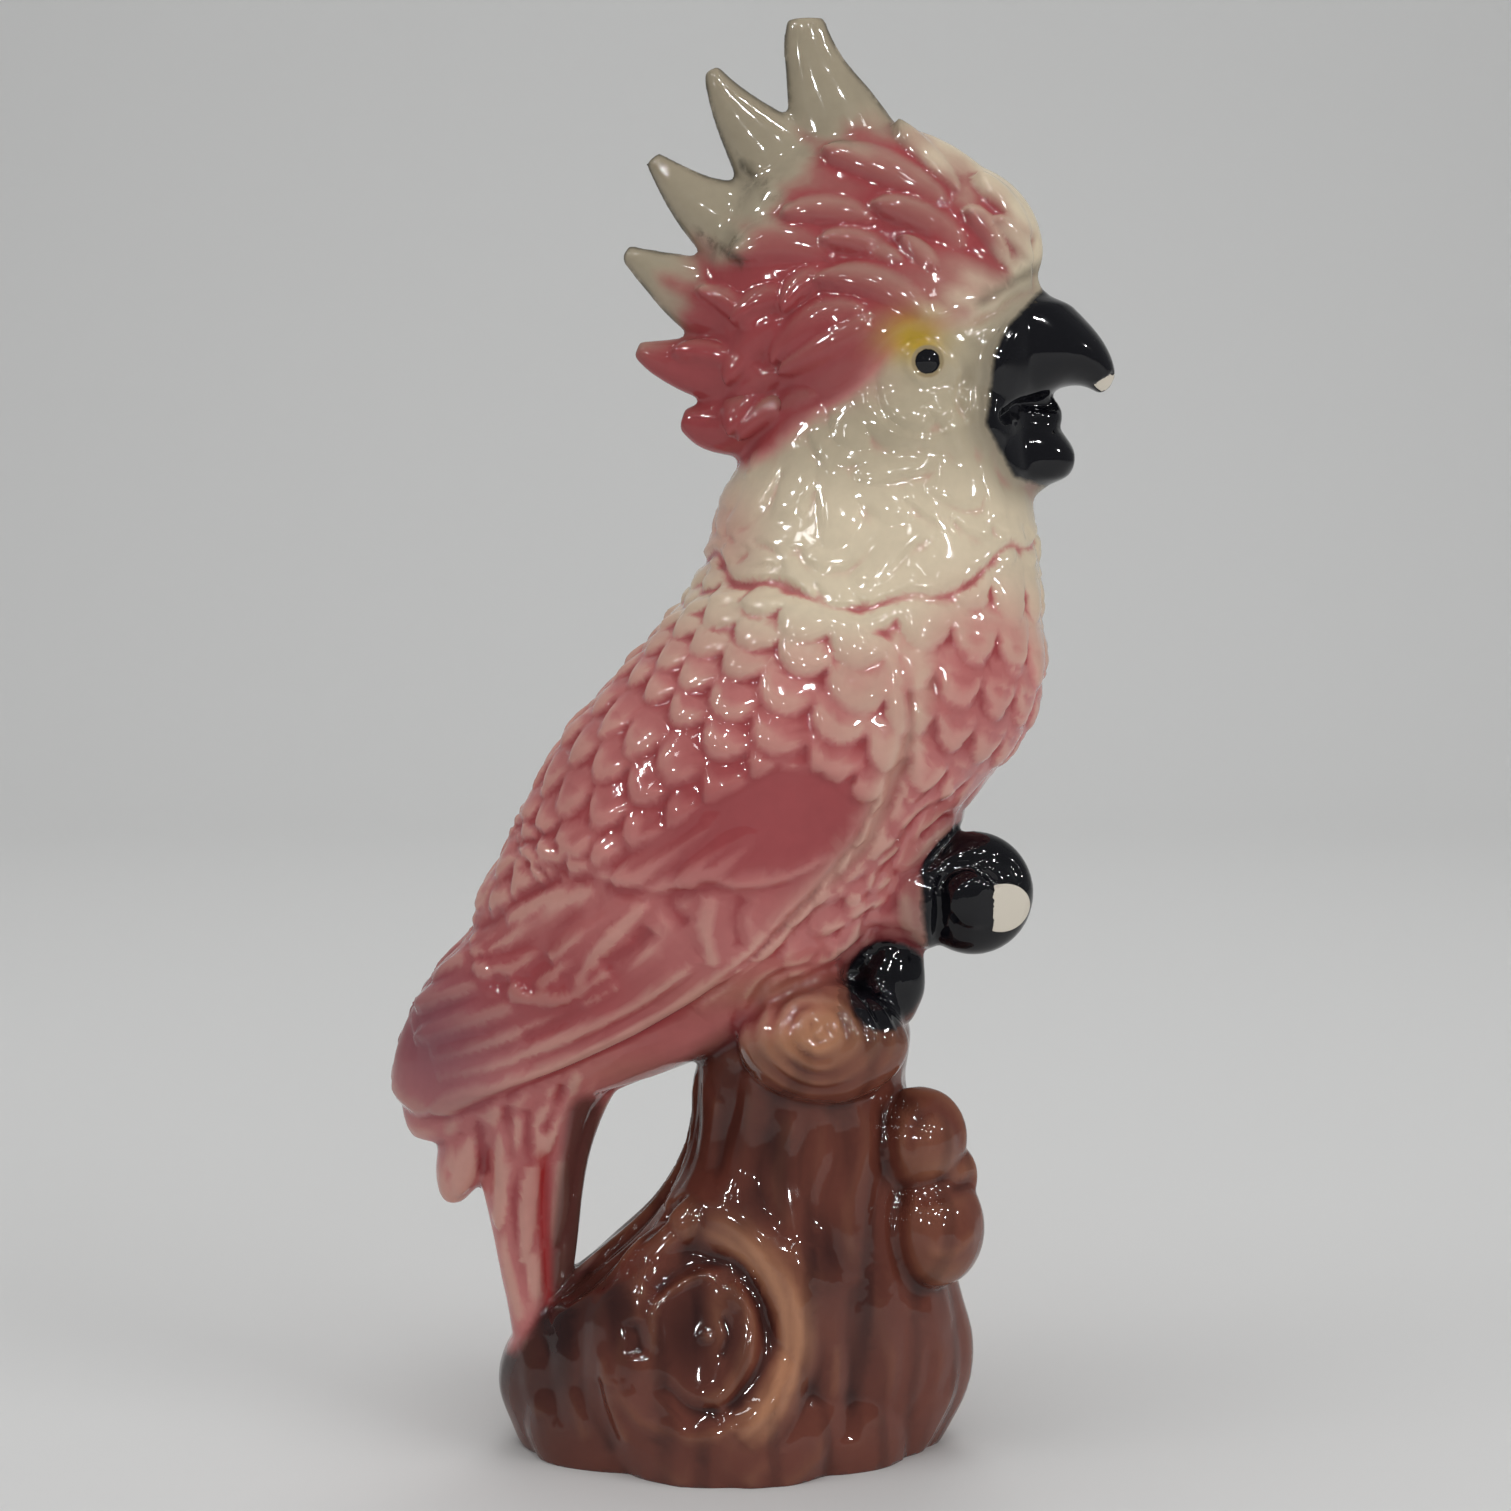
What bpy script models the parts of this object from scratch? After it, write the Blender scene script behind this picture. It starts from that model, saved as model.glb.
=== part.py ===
"""Cockatoo perched on a tree stump: a slip-cast and glazed ceramic figurine, cast in one piece.

The bird looks along +X, its near side faces -Y, and the foot stands on Z = 0.
The tables are drawn for a figure 330 mm tall: outlines lie in the XZ plane, and widths go along Y.
"""

import math

import bmesh
import bpy
import numpy as np
from mathutils import Matrix, Vector

NAME = "parrot_figurine"
HEIGHT = 0.33
DRAWN_HEIGHT = 330
MM = HEIGHT / DRAWN_HEIGHT

# Mesh fineness
VOXEL = 1.15
RING_POINTS = 36
SPAN_STEPS = 4
SOFTENING = 6
RELIEF_SOFTENING = 1
LINE_SAMPLES = 33
TRIANGLES = 11600

# Plumage
PLUMAGE_DEPTH = 2.0
PLUMAGE_FLOOR = 106
BARE_BALL = 15
BEAK_CLEARANCE = 4
FEATHER_PITCH = 8.4
FEATHER_WIDTH = 11.5
FEATHER_OVERLAP = 1.7
FEATHER_RISE = 3.0
BELLY_FEATHERS = 0.5
LEG_TOP = 112
NECK_TOP = 246
NECK_PITCH = 9.5
NECK_WIDTH = 11
NECK_RISE = 1.9
NECK_WANDER = 2.0
FOLD_RISE = 1.1
FOLD_SCALLOP = 1.6
FOLD_FADE = 6
FOLD_MIDDLE = 45
FOLD_SPAN = 30
EDGE_WIDTH = 1.2

# Wing, crest and tail
WING_RISE = 2.6
WING_EDGE = 4.5
BACK_STRIP = 9.0
BACK_STRIP_TOP = 190
BACK_STRIP_FOOT = 80
LOCK_RISE = 3.4
QUILL_RISE = 1.3
QUILL_GROOVE = 0.35
TAIL_RISE = 0.9
TAIL_TOP = 94
TAIL_BACK = -60

# Stump
PERCH_STRETCH = 1.25
PERCH_RADIUS = 17
PERCH_FLOOR = 80
PERCH_FACE = 17
RING_RISE = 0.5
RING_PITCH = 3.6
BOWL_DEPTH = 3.2
BARK_TOP = 92
BARK_FOLDS = 13
BARK_RISE = 0.7

# Head and claw
EYE_RISE = 0.9
EYE_RADIUS = 2.8
LID_RADIUS = 4.3
DISC_RADIUS = 10.5
DISC_DEPTH = 0.6
BEAK_MIDDLE = (60, 246)
BEAK_REACH = 22
BEAK_GROOVE_DEPTH = 1.0
GAPE_DEPTH = 2.0
NUT_RADIUS = 6.8
NUT_RISE = 0.9

# Underside
GROUND_SIZE = 300
GROUND_DEPTH = 40
RECESS_SCALE = 0.76
RECESS_DEPTH = 3.0
DRAIN_DIAMETER = 18
DRAIN_DEPTH = 30
DRAIN_TAPER = 0.9
FOOT_CENTRE = (-5, 0)

# Sections of the torso, neck to tail: front point, back point, half width
TORSO = [
    ((60, 250), (6, 247), 22),
    ((63.5, 234), (-2.2, 233), 26.5),
    ((64.6, 220), (-8.8, 222), 30.5),
    ((65.5, 207), (-12.2, 208), 35),
    ((66.5, 194), (-20.4, 194), 40),
    ((67, 181), (-32.6, 180), 43),
    ((62.5, 167), (-44.8, 166), 44.5),
    ((51.5, 153), (-52.2, 152), 43.5),
    ((42, 138), (-58, 140), 41),
    ((33, 122), (-62.5, 129.5), 37),
    ((19, 108), (-66, 121), 32),
    ((0, 97), (-72, 114), 27),
    ((-18, 90), (-79, 104.5), 22.5),
    ((-34, 84), (-83, 94.5), 19),
    ((-48, 78), (-84.3, 84.5), 15),
    ((-62, 74), (-83.3, 76.5), 9.5),
    ((-71, 72), (-80.5, 72.8), 4),
]
UPPER_BEAK = [
    ((57, 278), (50, 236), 14.5),
    ((66, 270.5), (58, 239.5), 13.5),
    ((72.7, 264.3), (64.5, 243.5), 11.5),
    ((78, 258.6), (69.5, 246.5), 9),
    ((81, 253.4), (74, 247), 6.4),
    ((81.8, 249.6), (76.8, 246), 4.4),
    ((80.8, 246.6), (78.2, 245), 2.6),
]
LOWER_BEAK = [
    ((50, 241), (53, 221), 12),
    ((59, 242), (60, 220), 11.5),
    ((65, 240.5), (65.5, 221.8), 10),
    ((70, 236.5), (70, 225), 7.5),
    ((72.8, 232.5), (72.6, 228.3), 4.5),
]
TAIL = [
    ((-26, 94), (-70, 90), 17),
    ((-34, 82), (-69, 78), 14),
    ((-38.5, 71), (-66, 70), 12.3),
    ((-40.5, 61), (-63.5, 61), 11.3),
    ((-41.5, 51), (-61.5, 51), 10.6),
    ((-42.6, 42), (-60, 42), 10.2),
    ((-45, 32), (-58, 32), 10),
    ((-47, 18), (-56, 18), 9.5),
]
STUMP = [
    ((33, 114), (-2, 114), 15),
    ((35.5, 105), (-8, 105), 20),
    ((36, 96), (-12, 96), 22.5),
    ((35, 87), (-14.2, 87), 23),
    ((37.5, 77), (-14.8, 77), 23.5),
    ((39, 67), (-17.6, 67), 25),
    ((42, 56), (-25, 56), 27),
    ((45, 45), (-38, 45), 29),
    ((47.5, 35), (-50, 35), 30.5),
    ((50, 25), (-58, 25), 29.5),
    ((49.5, 15), (-60.5, 15), 27),
    ((46, 6), (-58, 6), 24),
    ((41, -2), (-54, -2), 21),
    ((31, -7), (-44, -7), 18),
]
# Crest points and tail side feather: spine x, z, half width, half thickness
SPIKES = [
    [(34, 270, 14, 14), (26, 291, 13, 9), (18, 307, 10.6, 5.5), (13.6, 317.5, 7.2, 4.2),
     (11.6, 325, 5.4, 3.4), (11.2, 329.8, 4.2, 2.6)],
    [(20, 278, 13, 14), (10.5, 290, 12.4, 9), (4.2, 298.3, 10.2, 5.5), (-0.6, 303.8, 7.8, 4.6),
     (-5, 309.3, 5.4, 3.7), (-8.4, 314.6, 3.2, 2.9), (-10, 318, 1.8, 2.2)],
    [(15, 270, 13, 14), (3.4, 278, 12, 9), (-6, 284, 9.8, 5.5), (-10.3, 286.4, 8.2, 4.7),
     (-14.2, 289.2, 6.4, 4), (-19, 293.6, 4.2, 3), (-23.4, 298.2, 2, 2.3)],
    [(12, 262, 12, 14), (-2, 265, 10.5, 9), (-12.6, 267.6, 9, 5.5), (-16.5, 269.5, 7.6, 4.6),
     (-20.4, 271.7, 6, 3.9), (-25.8, 274.8, 3.6, 2.9), (-29.6, 277.2, 1.9, 2.2)],
    [(10, 252, 11, 14), (-4, 251, 9, 9), (-13.5, 251.6, 7, 5.5), (-18, 252.4, 5.6, 4.6),
     (-23.2, 253.8, 3.8, 3.5), (-27, 255.3, 2, 2.4)],
    [(5, 241, 9, 12), (-6, 238, 7.2, 8), (-12, 238.2, 5.2, 5.2), (-16.8, 239.6, 2.6, 3)],
    [(-54, 94, 10, 14), (-64, 78, 8.4, 11), (-68.5, 66.5, 6.2, 8.5), (-70.4, 60.5, 4, 6),
     (-70.8, 57.8, 2, 4)],
]
# Rounded masses: centre, half sizes, lean in degrees
MASSES = [
    ((34, 0, 255), (32.5, 25.5, 31), 0),
    ((26, 0, 268), (38, 17, 38), 0),
    ((43.4, 0, 276.2), (22, 15, 21.3), -20),
    ((35, -9, 238), (24, 18, 20), 0),
    ((35, 9, 238), (24, 18, 20), 0),
    ((61, 0, 240), (9, 7.5, 6.5), 0),
    ((49.6, -12, 132.2), (13.8, 10, 14.2), 0),
    ((31.3, -10, 111.5), (9.4, 9, 11.4), 0),
    ((29.5, 8, 111), (9, 8, 10.5), 0),
    ((15.5, -20, 100), (19.6, 13.5, 14.6), 0),
    ((15.5, 20, 100), (18, 12, 13.5), 0),
    ((37.6, -11, 75), (10.2, 12.5, 11.5), 10),
    ((41, -12, 54.5), (11.4, 13.5, 14), -6),
    ((42, -9, 66), (9, 9, 9), 0),
    ((-12, -14, 22), (30, 21.5, 33), 0),
    ((-26, -8, 10), (28, 18, 24), 0),
    ((-6, -18, 8), (26, 18.5, 24), 0),
    ((14, -10, 8), (22, 17, 22), 0),
    ((-5, 15, 12), (51, 25, 28), 0),
]
RAISED_LEG = [((22, -8, 134), 13), ((32, -10, 131.5), 12), ((42, -12, 130.5), 11)]
BARK_ROOT = [((-10, -18, 60), 6), ((-21.5, -17, 48.5), 6), ((-33, -15, 38), 5.5), ((-46, -11, 27), 5)]

# Leaf shapes: root, bend, tip, half width
CREST_LOCKS = [
    ((42, 288), (30, 297.5), (16, 299), 4.5), ((46, 278), (38, 287), (26.5, 287), 4.2),
    ((26, 284), (16, 288), (6.5, 285), 3.6), ((32, 275), (23, 281), (15, 279.5), 3.5),
    ((16, 276), (6, 284), (-4.5, 276), 5.5), ((18, 272), (9, 272), (6.5, 264), 3.6),
    ((38, 263), (26, 274), (14, 270.5), 4.2), ((23, 264), (10, 264), (4.5, 253), 4.6),
    ((25, 262), (18, 258), (6.5, 250.5), 3.8), ((5, 262), (-2.5, 258), (-6, 248.5), 4.2),
    ((8, 267), (1, 268), (-4.5, 262), 3.5), ((5, 250), (-4.5, 247), (-5.5, 237), 4.2),
    ((13, 245), (3, 244), (-3.5, 236), 3.2), ((45, 291), (36, 302), (31.5, 304.5), 3),
    ((61, 280), (56, 290), (49.5, 293), 3.2), ((56, 275), (51, 285), (47, 285.5), 3),
    ((62, 275), (58, 282), (53, 284), 2.6), ((40, 273), (36, 278), (32, 279.5), 2.8),
    ((2, 255), (-1.5, 266), (-12.5, 268.5), 3.2), ((2, 248.5), (-4.5, 257), (-18, 254.5), 3.4),
]
FLIGHT_FEATHERS = [
    ((-49.5, 128), (-61, 122), (-74, 111), 3.5), ((-47.5, 121), (-61, 115.5), (-76, 105), 3.2),
    ((-43, 115.5), (-56.5, 110), (-76.5, 98.5), 3), ((-52, 95.5), (-65.5, 87.5), (-73.5, 81.5), 4),
    ((-30, 143), (-45.5, 133), (-61.5, 118.5), 4.5), ((-34, 150), (-47.5, 142), (-63, 128), 4.2),
    ((-20, 158), (-29, 152.5), (-39, 141.5), 4.6), ((-9, 153.5), (-19, 148), (-30, 138.5), 4.6),
    ((0, 150), (-8, 145.5), (-16, 138.5), 4.2), ((-23, 136), (-34, 128), (-50, 114), 4.5),
]
TAIL_FEATHERS = [
    ((-57.5, 86), (-65.5, 75.5), (-69, 61), 3.5), ((-51.5, 88), (-58.5, 75.5), (-59, 54), 3.2),
    ((-44.5, 89.5), (-51.5, 73), (-54, 46), 3.2), ((-36.5, 91), (-44.5, 76), (-47, 50), 3),
]

# Feather edges, the higher side on the left: points, height, and how far they reach
WING_LEDGES = [
    ((-43, 141), (-34.5, 139.5), (-27.5, 138), (-21, 137), (-14.5, 138.5), (-11.5, 140),
     (-6.5, 138.5), (-2, 138), (7.5, 140), (17.5, 145), 1.3, 9),
    ((-64, 123.5), (-62.5, 115.5), (-60, 114), (-55, 115), (-53.5, 110.5), (-47, 110),
     (-40, 111.5), (-32.5, 117), (-25.5, 125), 1.3, 8),
    ((-75, 110), (-70, 112.5), (-62, 115), 1.1, 6),
    ((-77, 103.5), (-68, 107.5), (-56.5, 111), 1.2, 6),
    ((-77.5, 97), (-65.5, 101.5), (-52.5, 106.5), (-40, 111), 1.2, 6),
    ((-73, 93.5), (-61, 98), (-45.5, 105), (-29, 115), 1.2, 6),
    ((-72.5, 89), (-57, 94.5), (-39, 102.5), (-23.5, 111.5), (-11, 121.5), 1.2, 6),
    ((-73, 84), (-57, 89), (-39, 95.5), (-23.5, 104), (-8, 114.5), (4.5, 126), 1.2, 6),
    ((34.5, 183), (34.5, 169.5), (31, 158.5), (24, 145), (18, 138), (10, 132), (2, 122.5),
     (-7, 114), (-14.5, 107.5), 1.8, 5),
]
FLANK_LEDGES = [
    ((17.5, 118.5), (23, 123), (24.5, 129), (30, 132), (32, 138), 1.1, 5),
    ((20, 132), (24.5, 135), (27.5, 140.5), (33, 144.5), 1.0, 5),
    ((25, 142.5), (27.5, 145), (32, 147.5), (35.5, 152.5), (41, 155), (45, 156.5), 1.0, 5),
    ((14.5, 125.5), (21, 127.5), (25, 133.5), 0.8, 5),
    ((7.5, 114), (16.5, 117.5), (21, 122), 0.8, 5),
    ((33, 155.5), (37.5, 158), (43, 163.5), 0.8, 5),
]

# Ridges and grooves: points, half width and height
WING_LINES = [
    ((-33.5, 119), (-28, 123), (-22.5, 128), 2, -1.4),
    ((-51, 112.5), (-48, 116.5), (-45, 120.5), 2, -1.4),
    ((-40, 115), (-32, 125), (-24, 134.5), 1.5, 0.9),
    ((-52.5, 101.5), (-43.5, 106), (-38, 110), 1.5, -1.0),
    ((-14.5, 128.5), (-18.5, 134), (-14.5, 138.5), 2, -0.9),
    ((-3.5, 123), (-4.5, 130.5), (-2.5, 136), 2, -0.8),
    ((-9.5, 119.5), (-11, 128.5), (-9.5, 136.5), 2, 0.7),
    ((-55.5, 127.5), (-45.5, 133), (-34.5, 136), 3, 0.9),
    ((-57.5, 135), (-50, 141), (-43, 144), 2, 0.7),
    ((-52, 133), (-46.5, 136.5), (-42, 138.5), 1.5, -0.9),
]
TAIL_LINES = [
    ((-56.5, 83.5), (-56.5, 76.5), (-56, 69.5), 1.5, -0.8),
    ((-52.5, 83), (-52.5, 75.5), (-51, 68.5), 1.5, -0.8),
    ((-43.5, 88.5), (-45.5, 82.5), (-48.5, 76.5), 1.5, -1.1),
    ((-39.5, 91.5), (-44.5, 82.5), (-48, 72), 1.5, 0.8),
    ((-48.5, 71), (-48.5, 54.5), (-48, 38), 1, -0.9),
    ((-45, 70.5), (-44.5, 54.5), (-46, 38), 1.5, 0.8),
    ((-59.5, 82.5), (-59, 73), (-58.5, 61.5), (-57, 45), (-54.5, 31), 1.5, 0.5),
    ((-63.5, 80), (-63.5, 73), (-62.5, 65), 1.5, -0.9),
    ((-68.5, 82.5), (-70, 75.5), (-69.5, 66), 2, 0.5),
    ((-53, 66), (-52.5, 52), (-51.5, 38), 1.5, 0.4),
    ((-56, 63.5), (-54.5, 49.5), (-52.5, 35.5), 1, -0.4),
]
BARK_LINES = [
    ((-4, 94.5), (-6.5, 81), (-10, 67), 3, -1.2),
    ((-8.5, 85.5), (-10, 76.5), (-11, 68.5), 1.5, 0.6),
    ((-1, 92.5), (-2.5, 79), (-5, 63), 3, 0.8),
    ((3.5, 81), (1, 65), (9, 53.5), 2.5, -0.8),
    ((7.5, 84), (4.5, 67.5), (9.5, 52.5), (18.5, 44), 3, 1.0),
    ((12.5, 83.5), (10, 69.5), (14, 57), 2, -0.6),
    ((22.5, 87), (25, 76.5), (21, 61), (22, 48.5), 2.5, 0.8),
    ((17, 85.5), (18.5, 74.5), (15.5, 61.5), (19.5, 44.5), 2.5, -0.8),
    ((29.5, 85.5), (29.5, 69.5), (27, 56), (29, 40), 2, -0.7),
    ((23, 45.5), (21.5, 33), (22, 19), (21, 7.5), 2.5, -1.2),
    ((28, 48), (28, 35), (31, 23.5), (30, 9.5), 3, 0.8),
    ((35, 36.5), (34, 25), (30.5, 9.5), 2, -0.5),
    ((40.5, 27), (39.5, 19), (34.5, 9.5), 1.5, -0.5),
    ((45.5, 32), (46.5, 22.5), (43, 14.5), 2, -0.5),
    ((18.5, 32), (17.5, 19), (13.5, 6), (4.5, -1), 2.5, 0.9),
    ((13.5, 39.5), (15, 27.5), (10, 16), (1, 7), 2.5, -0.9),
    ((-12.5, 59.5), (-23, 48), (-36.5, 37.5), (-47.5, 33.5), 4.5, 1.2),
    ((-15, 51), (-25, 42), (-32, 30.5), (-32.5, 22.5), 2.5, -0.8),
    ((-34.5, 29.5), (-33, 19), (-28.5, 8.5), 1.5, 0.8),
    ((-36.5, 23.5), (-35, 14.5), (-32.5, 4.5), 2.5, -0.8),
    ((-43, 28.5), (-42, 19), (-38.5, 7), 2, 0.7),
    ((-48.5, 30), (-47.5, 20), (-44.5, 9.5), 2, -0.8),
    ((-53, 29.5), (-52.5, 19), (-49.5, 10.5), 2, 0.7),
    ((-12.5, 8.5), (-9, 2.5), (-3.5, -1.5), 2.5, -0.7),
    ((-24, 9.5), (-20.5, 4), (-15, 0), 2.5, 0.5),
    ((3.5, 14.5), (2, 7.5), (-2.5, 0.5), 2.5, 0.6),
]
KNOT_LINES = [
    ((-18, 55), (-12.5, 59.5), (-3.5, 58.5), (4.5, 50.5), (9.5, 40.5), (9, 30), (4, 20.5),
     (-4, 11.5), 6, 3.0),
    ((-23.5, 42.5), (-20.5, 47.5), (-13, 51), (-4, 49), (1, 41.5), (3, 31), (-1, 23.5),
     (-7.5, 18.5), 2.5, -1.9),
    ((-32, 22), (-30.5, 32.5), (-23.5, 45), 2.5, 1.2),
    ((-32, 23), (-26, 15.5), (-14.5, 12), (-4.5, 14), 2.5, 1.1),
    ((-6.5, 45.5), (-1.5, 39), (-2.5, 30), (-6.5, 22.5), (-11.5, 19.5), 2, 1.9),
    ((-23, 31), (-22.5, 40.5), (-16.5, 46), (-9.5, 48), 1, 1.1),
    ((-22.5, 24.5), (-14.5, 18), (-8, 18.5), 2, -1.4),
    ((-28, 37), (-27, 33.5), (-27, 29.5), 2, -1.7),
    ((-11.5, 36), (-11, 33.5), 1.5, 1.2),
    ((-7, 39.5), (-5.5, 34.5), (-7.5, 29.5), 1, -0.9),
]
BURL_LINES = [
    ((35, 73.5), (36, 80.5), (41, 83.5), (46, 79.5), (47.5, 73.5), 1.5, -0.5),
    ((34, 64), (32.5, 60.5), (32.5, 52), (35, 43), (39.5, 38), 2, -0.8),
    ((36.5, 63), (43.5, 64.5), (50.5, 66), 1.5, -0.8),
    ((39, 52.5), (44.5, 51.5), (50, 55.5), 1.5, 0.5),
    ((31.5, 82.5), (31, 75.5), (32.5, 67.5), 1.5, -0.5),
]
CLAW_LINES = [
    ((42, 125), (41.5, 134), (43.5, 138), (48.5, 139.5), (53, 137), (54.5, 133.5), 1, -1.4),
    ((41.5, 139.5), (49.5, 141), (57.5, 139.5), (60, 135.5), 1, -0.8),
    ((37.5, 146), (41, 148), (45, 150.5), 1, -1.2),
]
FACE_LINES = [
    ((63.5, 270), (56.5, 265.5), (49, 260.5), 1, -1.6),
    ((63, 281), (63.5, 275), (64, 268.5), 1, -1.2),
    ((48, 251), (45.5, 245), (47.5, 239), 1, -1.0),
    ((55.5, 266), (51, 260.5), (47.5, 257), 1, 0.9),
]

# Outlines of carved areas
WING = [
    (7.5, 203.5), (20.5, 200.5), (30.5, 192), (34.5, 181), (34, 170), (30, 159), (23.5, 145.5),
    (14, 133.5), (2, 120.5), (-12.5, 109), (-25.5, 100.5), (-43.5, 91), (-56.5, 85), (-70, 79.5),
    (-79, 78), (-90, 84), (-90, 112), (-74, 130), (-68, 143), (-60, 158), (-48, 173), (-34, 186),
    (-22, 196), (-10, 203),
]
COVERTS = [
    (7.5, 204), (20.5, 201), (30.5, 192), (34.5, 181), (34, 168), (30, 157), (22, 157), (14, 163),
    (5, 164.5), (-8, 157), (-22, 148), (-34, 141), (-47.5, 135.5), (-63, 123.5), (-82, 128), (-60, 160),
    (-34, 190), (-14, 206),
]
CREST_EDGE = [(40, 330), (70, 282), (62, 268), (47, 263), (33, 259.5), (21, 248.5), (13, 242),
              (4.5, 236), (-3, 230.5), (-40, 232), (-60, 260), (-40, 330)]
NECK_FOLD = [(-16, 212), (-4.5, 206.5), (10, 202), (25.5, 200), (38.5, 202), (51.5, 208.5), (66, 215)]
FLANK_LINE = [(-100, 105), (-60, 120), (-10, 140), (30, 156), (50, 158), (90, 172)]
BEAK_GROOVE = [(66, 271), (57.5, 262), (52.5, 254), (51.5, 246), (51.5, 237), (55, 230), (58, 224),
               (62, 219)]
GAPE = [(72, 243.5), (64.5, 243), (60, 242.5), (56, 240.5)]
EYE = (38, 252.5)
EYE_DISC = (36.5, 247.5)
PERCH = (14, 104)
KNOT_BOWL = (-14, 34.5)
KNOT_BOWL_SIZE = (8.2, 13)
BALL = (49.5, 131.5)
BEAK = (68, 246)
# Chips: a point on the flat break, the way it faces, and its reach
BEAK_CHIP = ((79.6, -1.4, 246.4), (0.5, -0.8, -0.35), 4)
CLAW_CHIP = ((57.7, -18.7, 129.6), (0.45, -0.87, -0.12), 9)


def clear_scene():
    for obj in list(bpy.data.objects):
        bpy.data.objects.remove(obj, do_unlink=True)


def smooth_rows(rows, steps=SPAN_STEPS):
    """Rows of numbers with a Catmull-Rom curve run through them."""
    rows = np.asarray(rows, float)
    padded = np.vstack([2 * rows[0] - rows[1], rows, 2 * rows[-1] - rows[-2]])
    found = []
    for p0, p1, p2, p3 in zip(padded, padded[1:], padded[2:], padded[3:]):
        for t in np.arange(steps) / steps:
            found.append(p1 + 0.5 * t * (p2 - p0 + t * (2 * p0 - 5 * p1 + 4 * p2 - p3
                                                        + t * (3 * (p1 - p2) + p3 - p0))))
    return np.array(found + [rows[-1]])


def ring_mesh(rings):
    """A closed mesh through rings of points, with a fan at each end."""
    bm = bmesh.new()
    loops = [[bm.verts.new(Vector(p) * MM) for p in ring] for ring in rings]
    for low, high in zip(loops, loops[1:]):
        for i in range(len(low)):
            j = (i + 1) % len(low)
            bm.faces.new((low[i], low[j], high[j], high[i]))
    for loop in (loops[0], loops[-1]):
        middle = bm.verts.new(sum((v.co for v in loop), Vector()) / len(loop))
        for i in range(len(loop)):
            bm.faces.new((loop[i], loop[(i + 1) % len(loop)], middle))
    bmesh.ops.recalc_face_normals(bm, faces=bm.faces)
    return finished_mesh(bm)


def finished_mesh(bm):
    mesh = bpy.data.meshes.new(NAME)
    bm.to_mesh(mesh)
    bm.free()
    return mesh


def section_loft(sections):
    """Oval rings across the XZ plane, each from its front point to its back point."""
    turn = np.linspace(0, 2 * math.pi, RING_POINTS, endpoint=False)
    rings = []
    for fx, fz, bx, bz, half in smooth_rows([(*front, *back, half) for front, back, half in sections]):
        swing = np.cos(turn) / 2
        rings.append(np.stack([
            (fx + bx) / 2 + (fx - bx) * swing,
            half * np.sin(turn),
            (fz + bz) / 2 + (fz - bz) * swing,
        ], axis=1))
    return ring_mesh(rings)


def spike(spine):
    """A flat tapered loft along its spine."""
    rows = np.asarray(spine, float)
    along = np.gradient(rows[:, :2], axis=0)
    along /= np.linalg.norm(along, axis=1)[:, None]
    across = np.stack([along[:, 1], -along[:, 0]], axis=1) * rows[:, 2:3]
    pairs = zip(rows[:, :2] + across, rows[:, :2] - across, rows[:, 3])
    return section_loft([(tuple(front), tuple(back), half) for front, back, half in pairs])


def limb(path):
    """A round bar of changing radius through the points of its path."""
    rows = smooth_rows([(*point, radius) for point, radius in path])
    along = np.gradient(rows[:, :3], axis=0)
    turn = np.linspace(0, 2 * math.pi, RING_POINTS, endpoint=False)
    rings = []
    for row, direction in zip(rows, along):
        side = Vector((0, 1, 0)).cross(Vector(direction)).normalized()
        up = Vector(direction).normalized().cross(side)
        centre, radius = Vector(row[:3]), float(row[3])
        rings.append([centre + radius * (math.cos(a) * side + math.sin(a) * up) for a in turn])
    return ring_mesh(rings)


def mass(centre, half_sizes, lean):
    """A ball stretched to its half sizes and leaned about Y."""
    bm = bmesh.new()
    place = (Matrix.Translation(Vector(centre) * MM) @ Matrix.Rotation(math.radians(lean), 4, "Y")
             @ Matrix.Diagonal((*(Vector(half_sizes) * MM), 1)))
    bmesh.ops.create_uvsphere(bm, u_segments=RING_POINTS, v_segments=24, radius=1, matrix=place)
    return finished_mesh(bm)


def fused_forms():
    """All forms run together as clay is, by a voxel remesh and a light smoothing."""
    forms = [section_loft(s) for s in (TORSO, UPPER_BEAK, LOWER_BEAK, TAIL, STUMP)]
    forms += [spike(s) for s in SPIKES]
    forms += [limb(s) for s in (RAISED_LEG, BARK_ROOT)]
    forms += [mass(*m) for m in MASSES]
    bm = bmesh.new()
    for form in forms:
        bm.from_mesh(form)
        bpy.data.meshes.remove(form)
    clay = bpy.data.objects.new(NAME, finished_mesh(bm))
    bpy.context.scene.collection.objects.link(clay)
    fuse = clay.modifiers.new("Fuse forms", "REMESH")
    fuse.mode = "VOXEL"
    fuse.voxel_size = VOXEL * MM
    soften = clay.modifiers.new("Soften", "SMOOTH")
    soften.factor = 0.5
    soften.iterations = round(SOFTENING)
    return applied(clay)


def applied(obj):
    """The object with its modifiers worked into its mesh."""
    bpy.context.view_layer.update()
    graph = bpy.context.evaluated_depsgraph_get()
    mesh = bpy.data.meshes.new_from_object(obj.evaluated_get(graph))
    obj.modifiers.clear()
    obj.data = mesh
    return obj


def vertex_array(mesh, field):
    values = np.empty(len(mesh.vertices) * 3, np.float32)
    mesh.vertices.foreach_get(field, values)
    return values.reshape(-1, 3).astype(float)


def step(low, high, values):
    """0 below low, 1 above high, and smooth between."""
    t = np.clip((values - low) / (high - low), 0, 1)
    return t * t * (3 - 2 * t)


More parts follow.
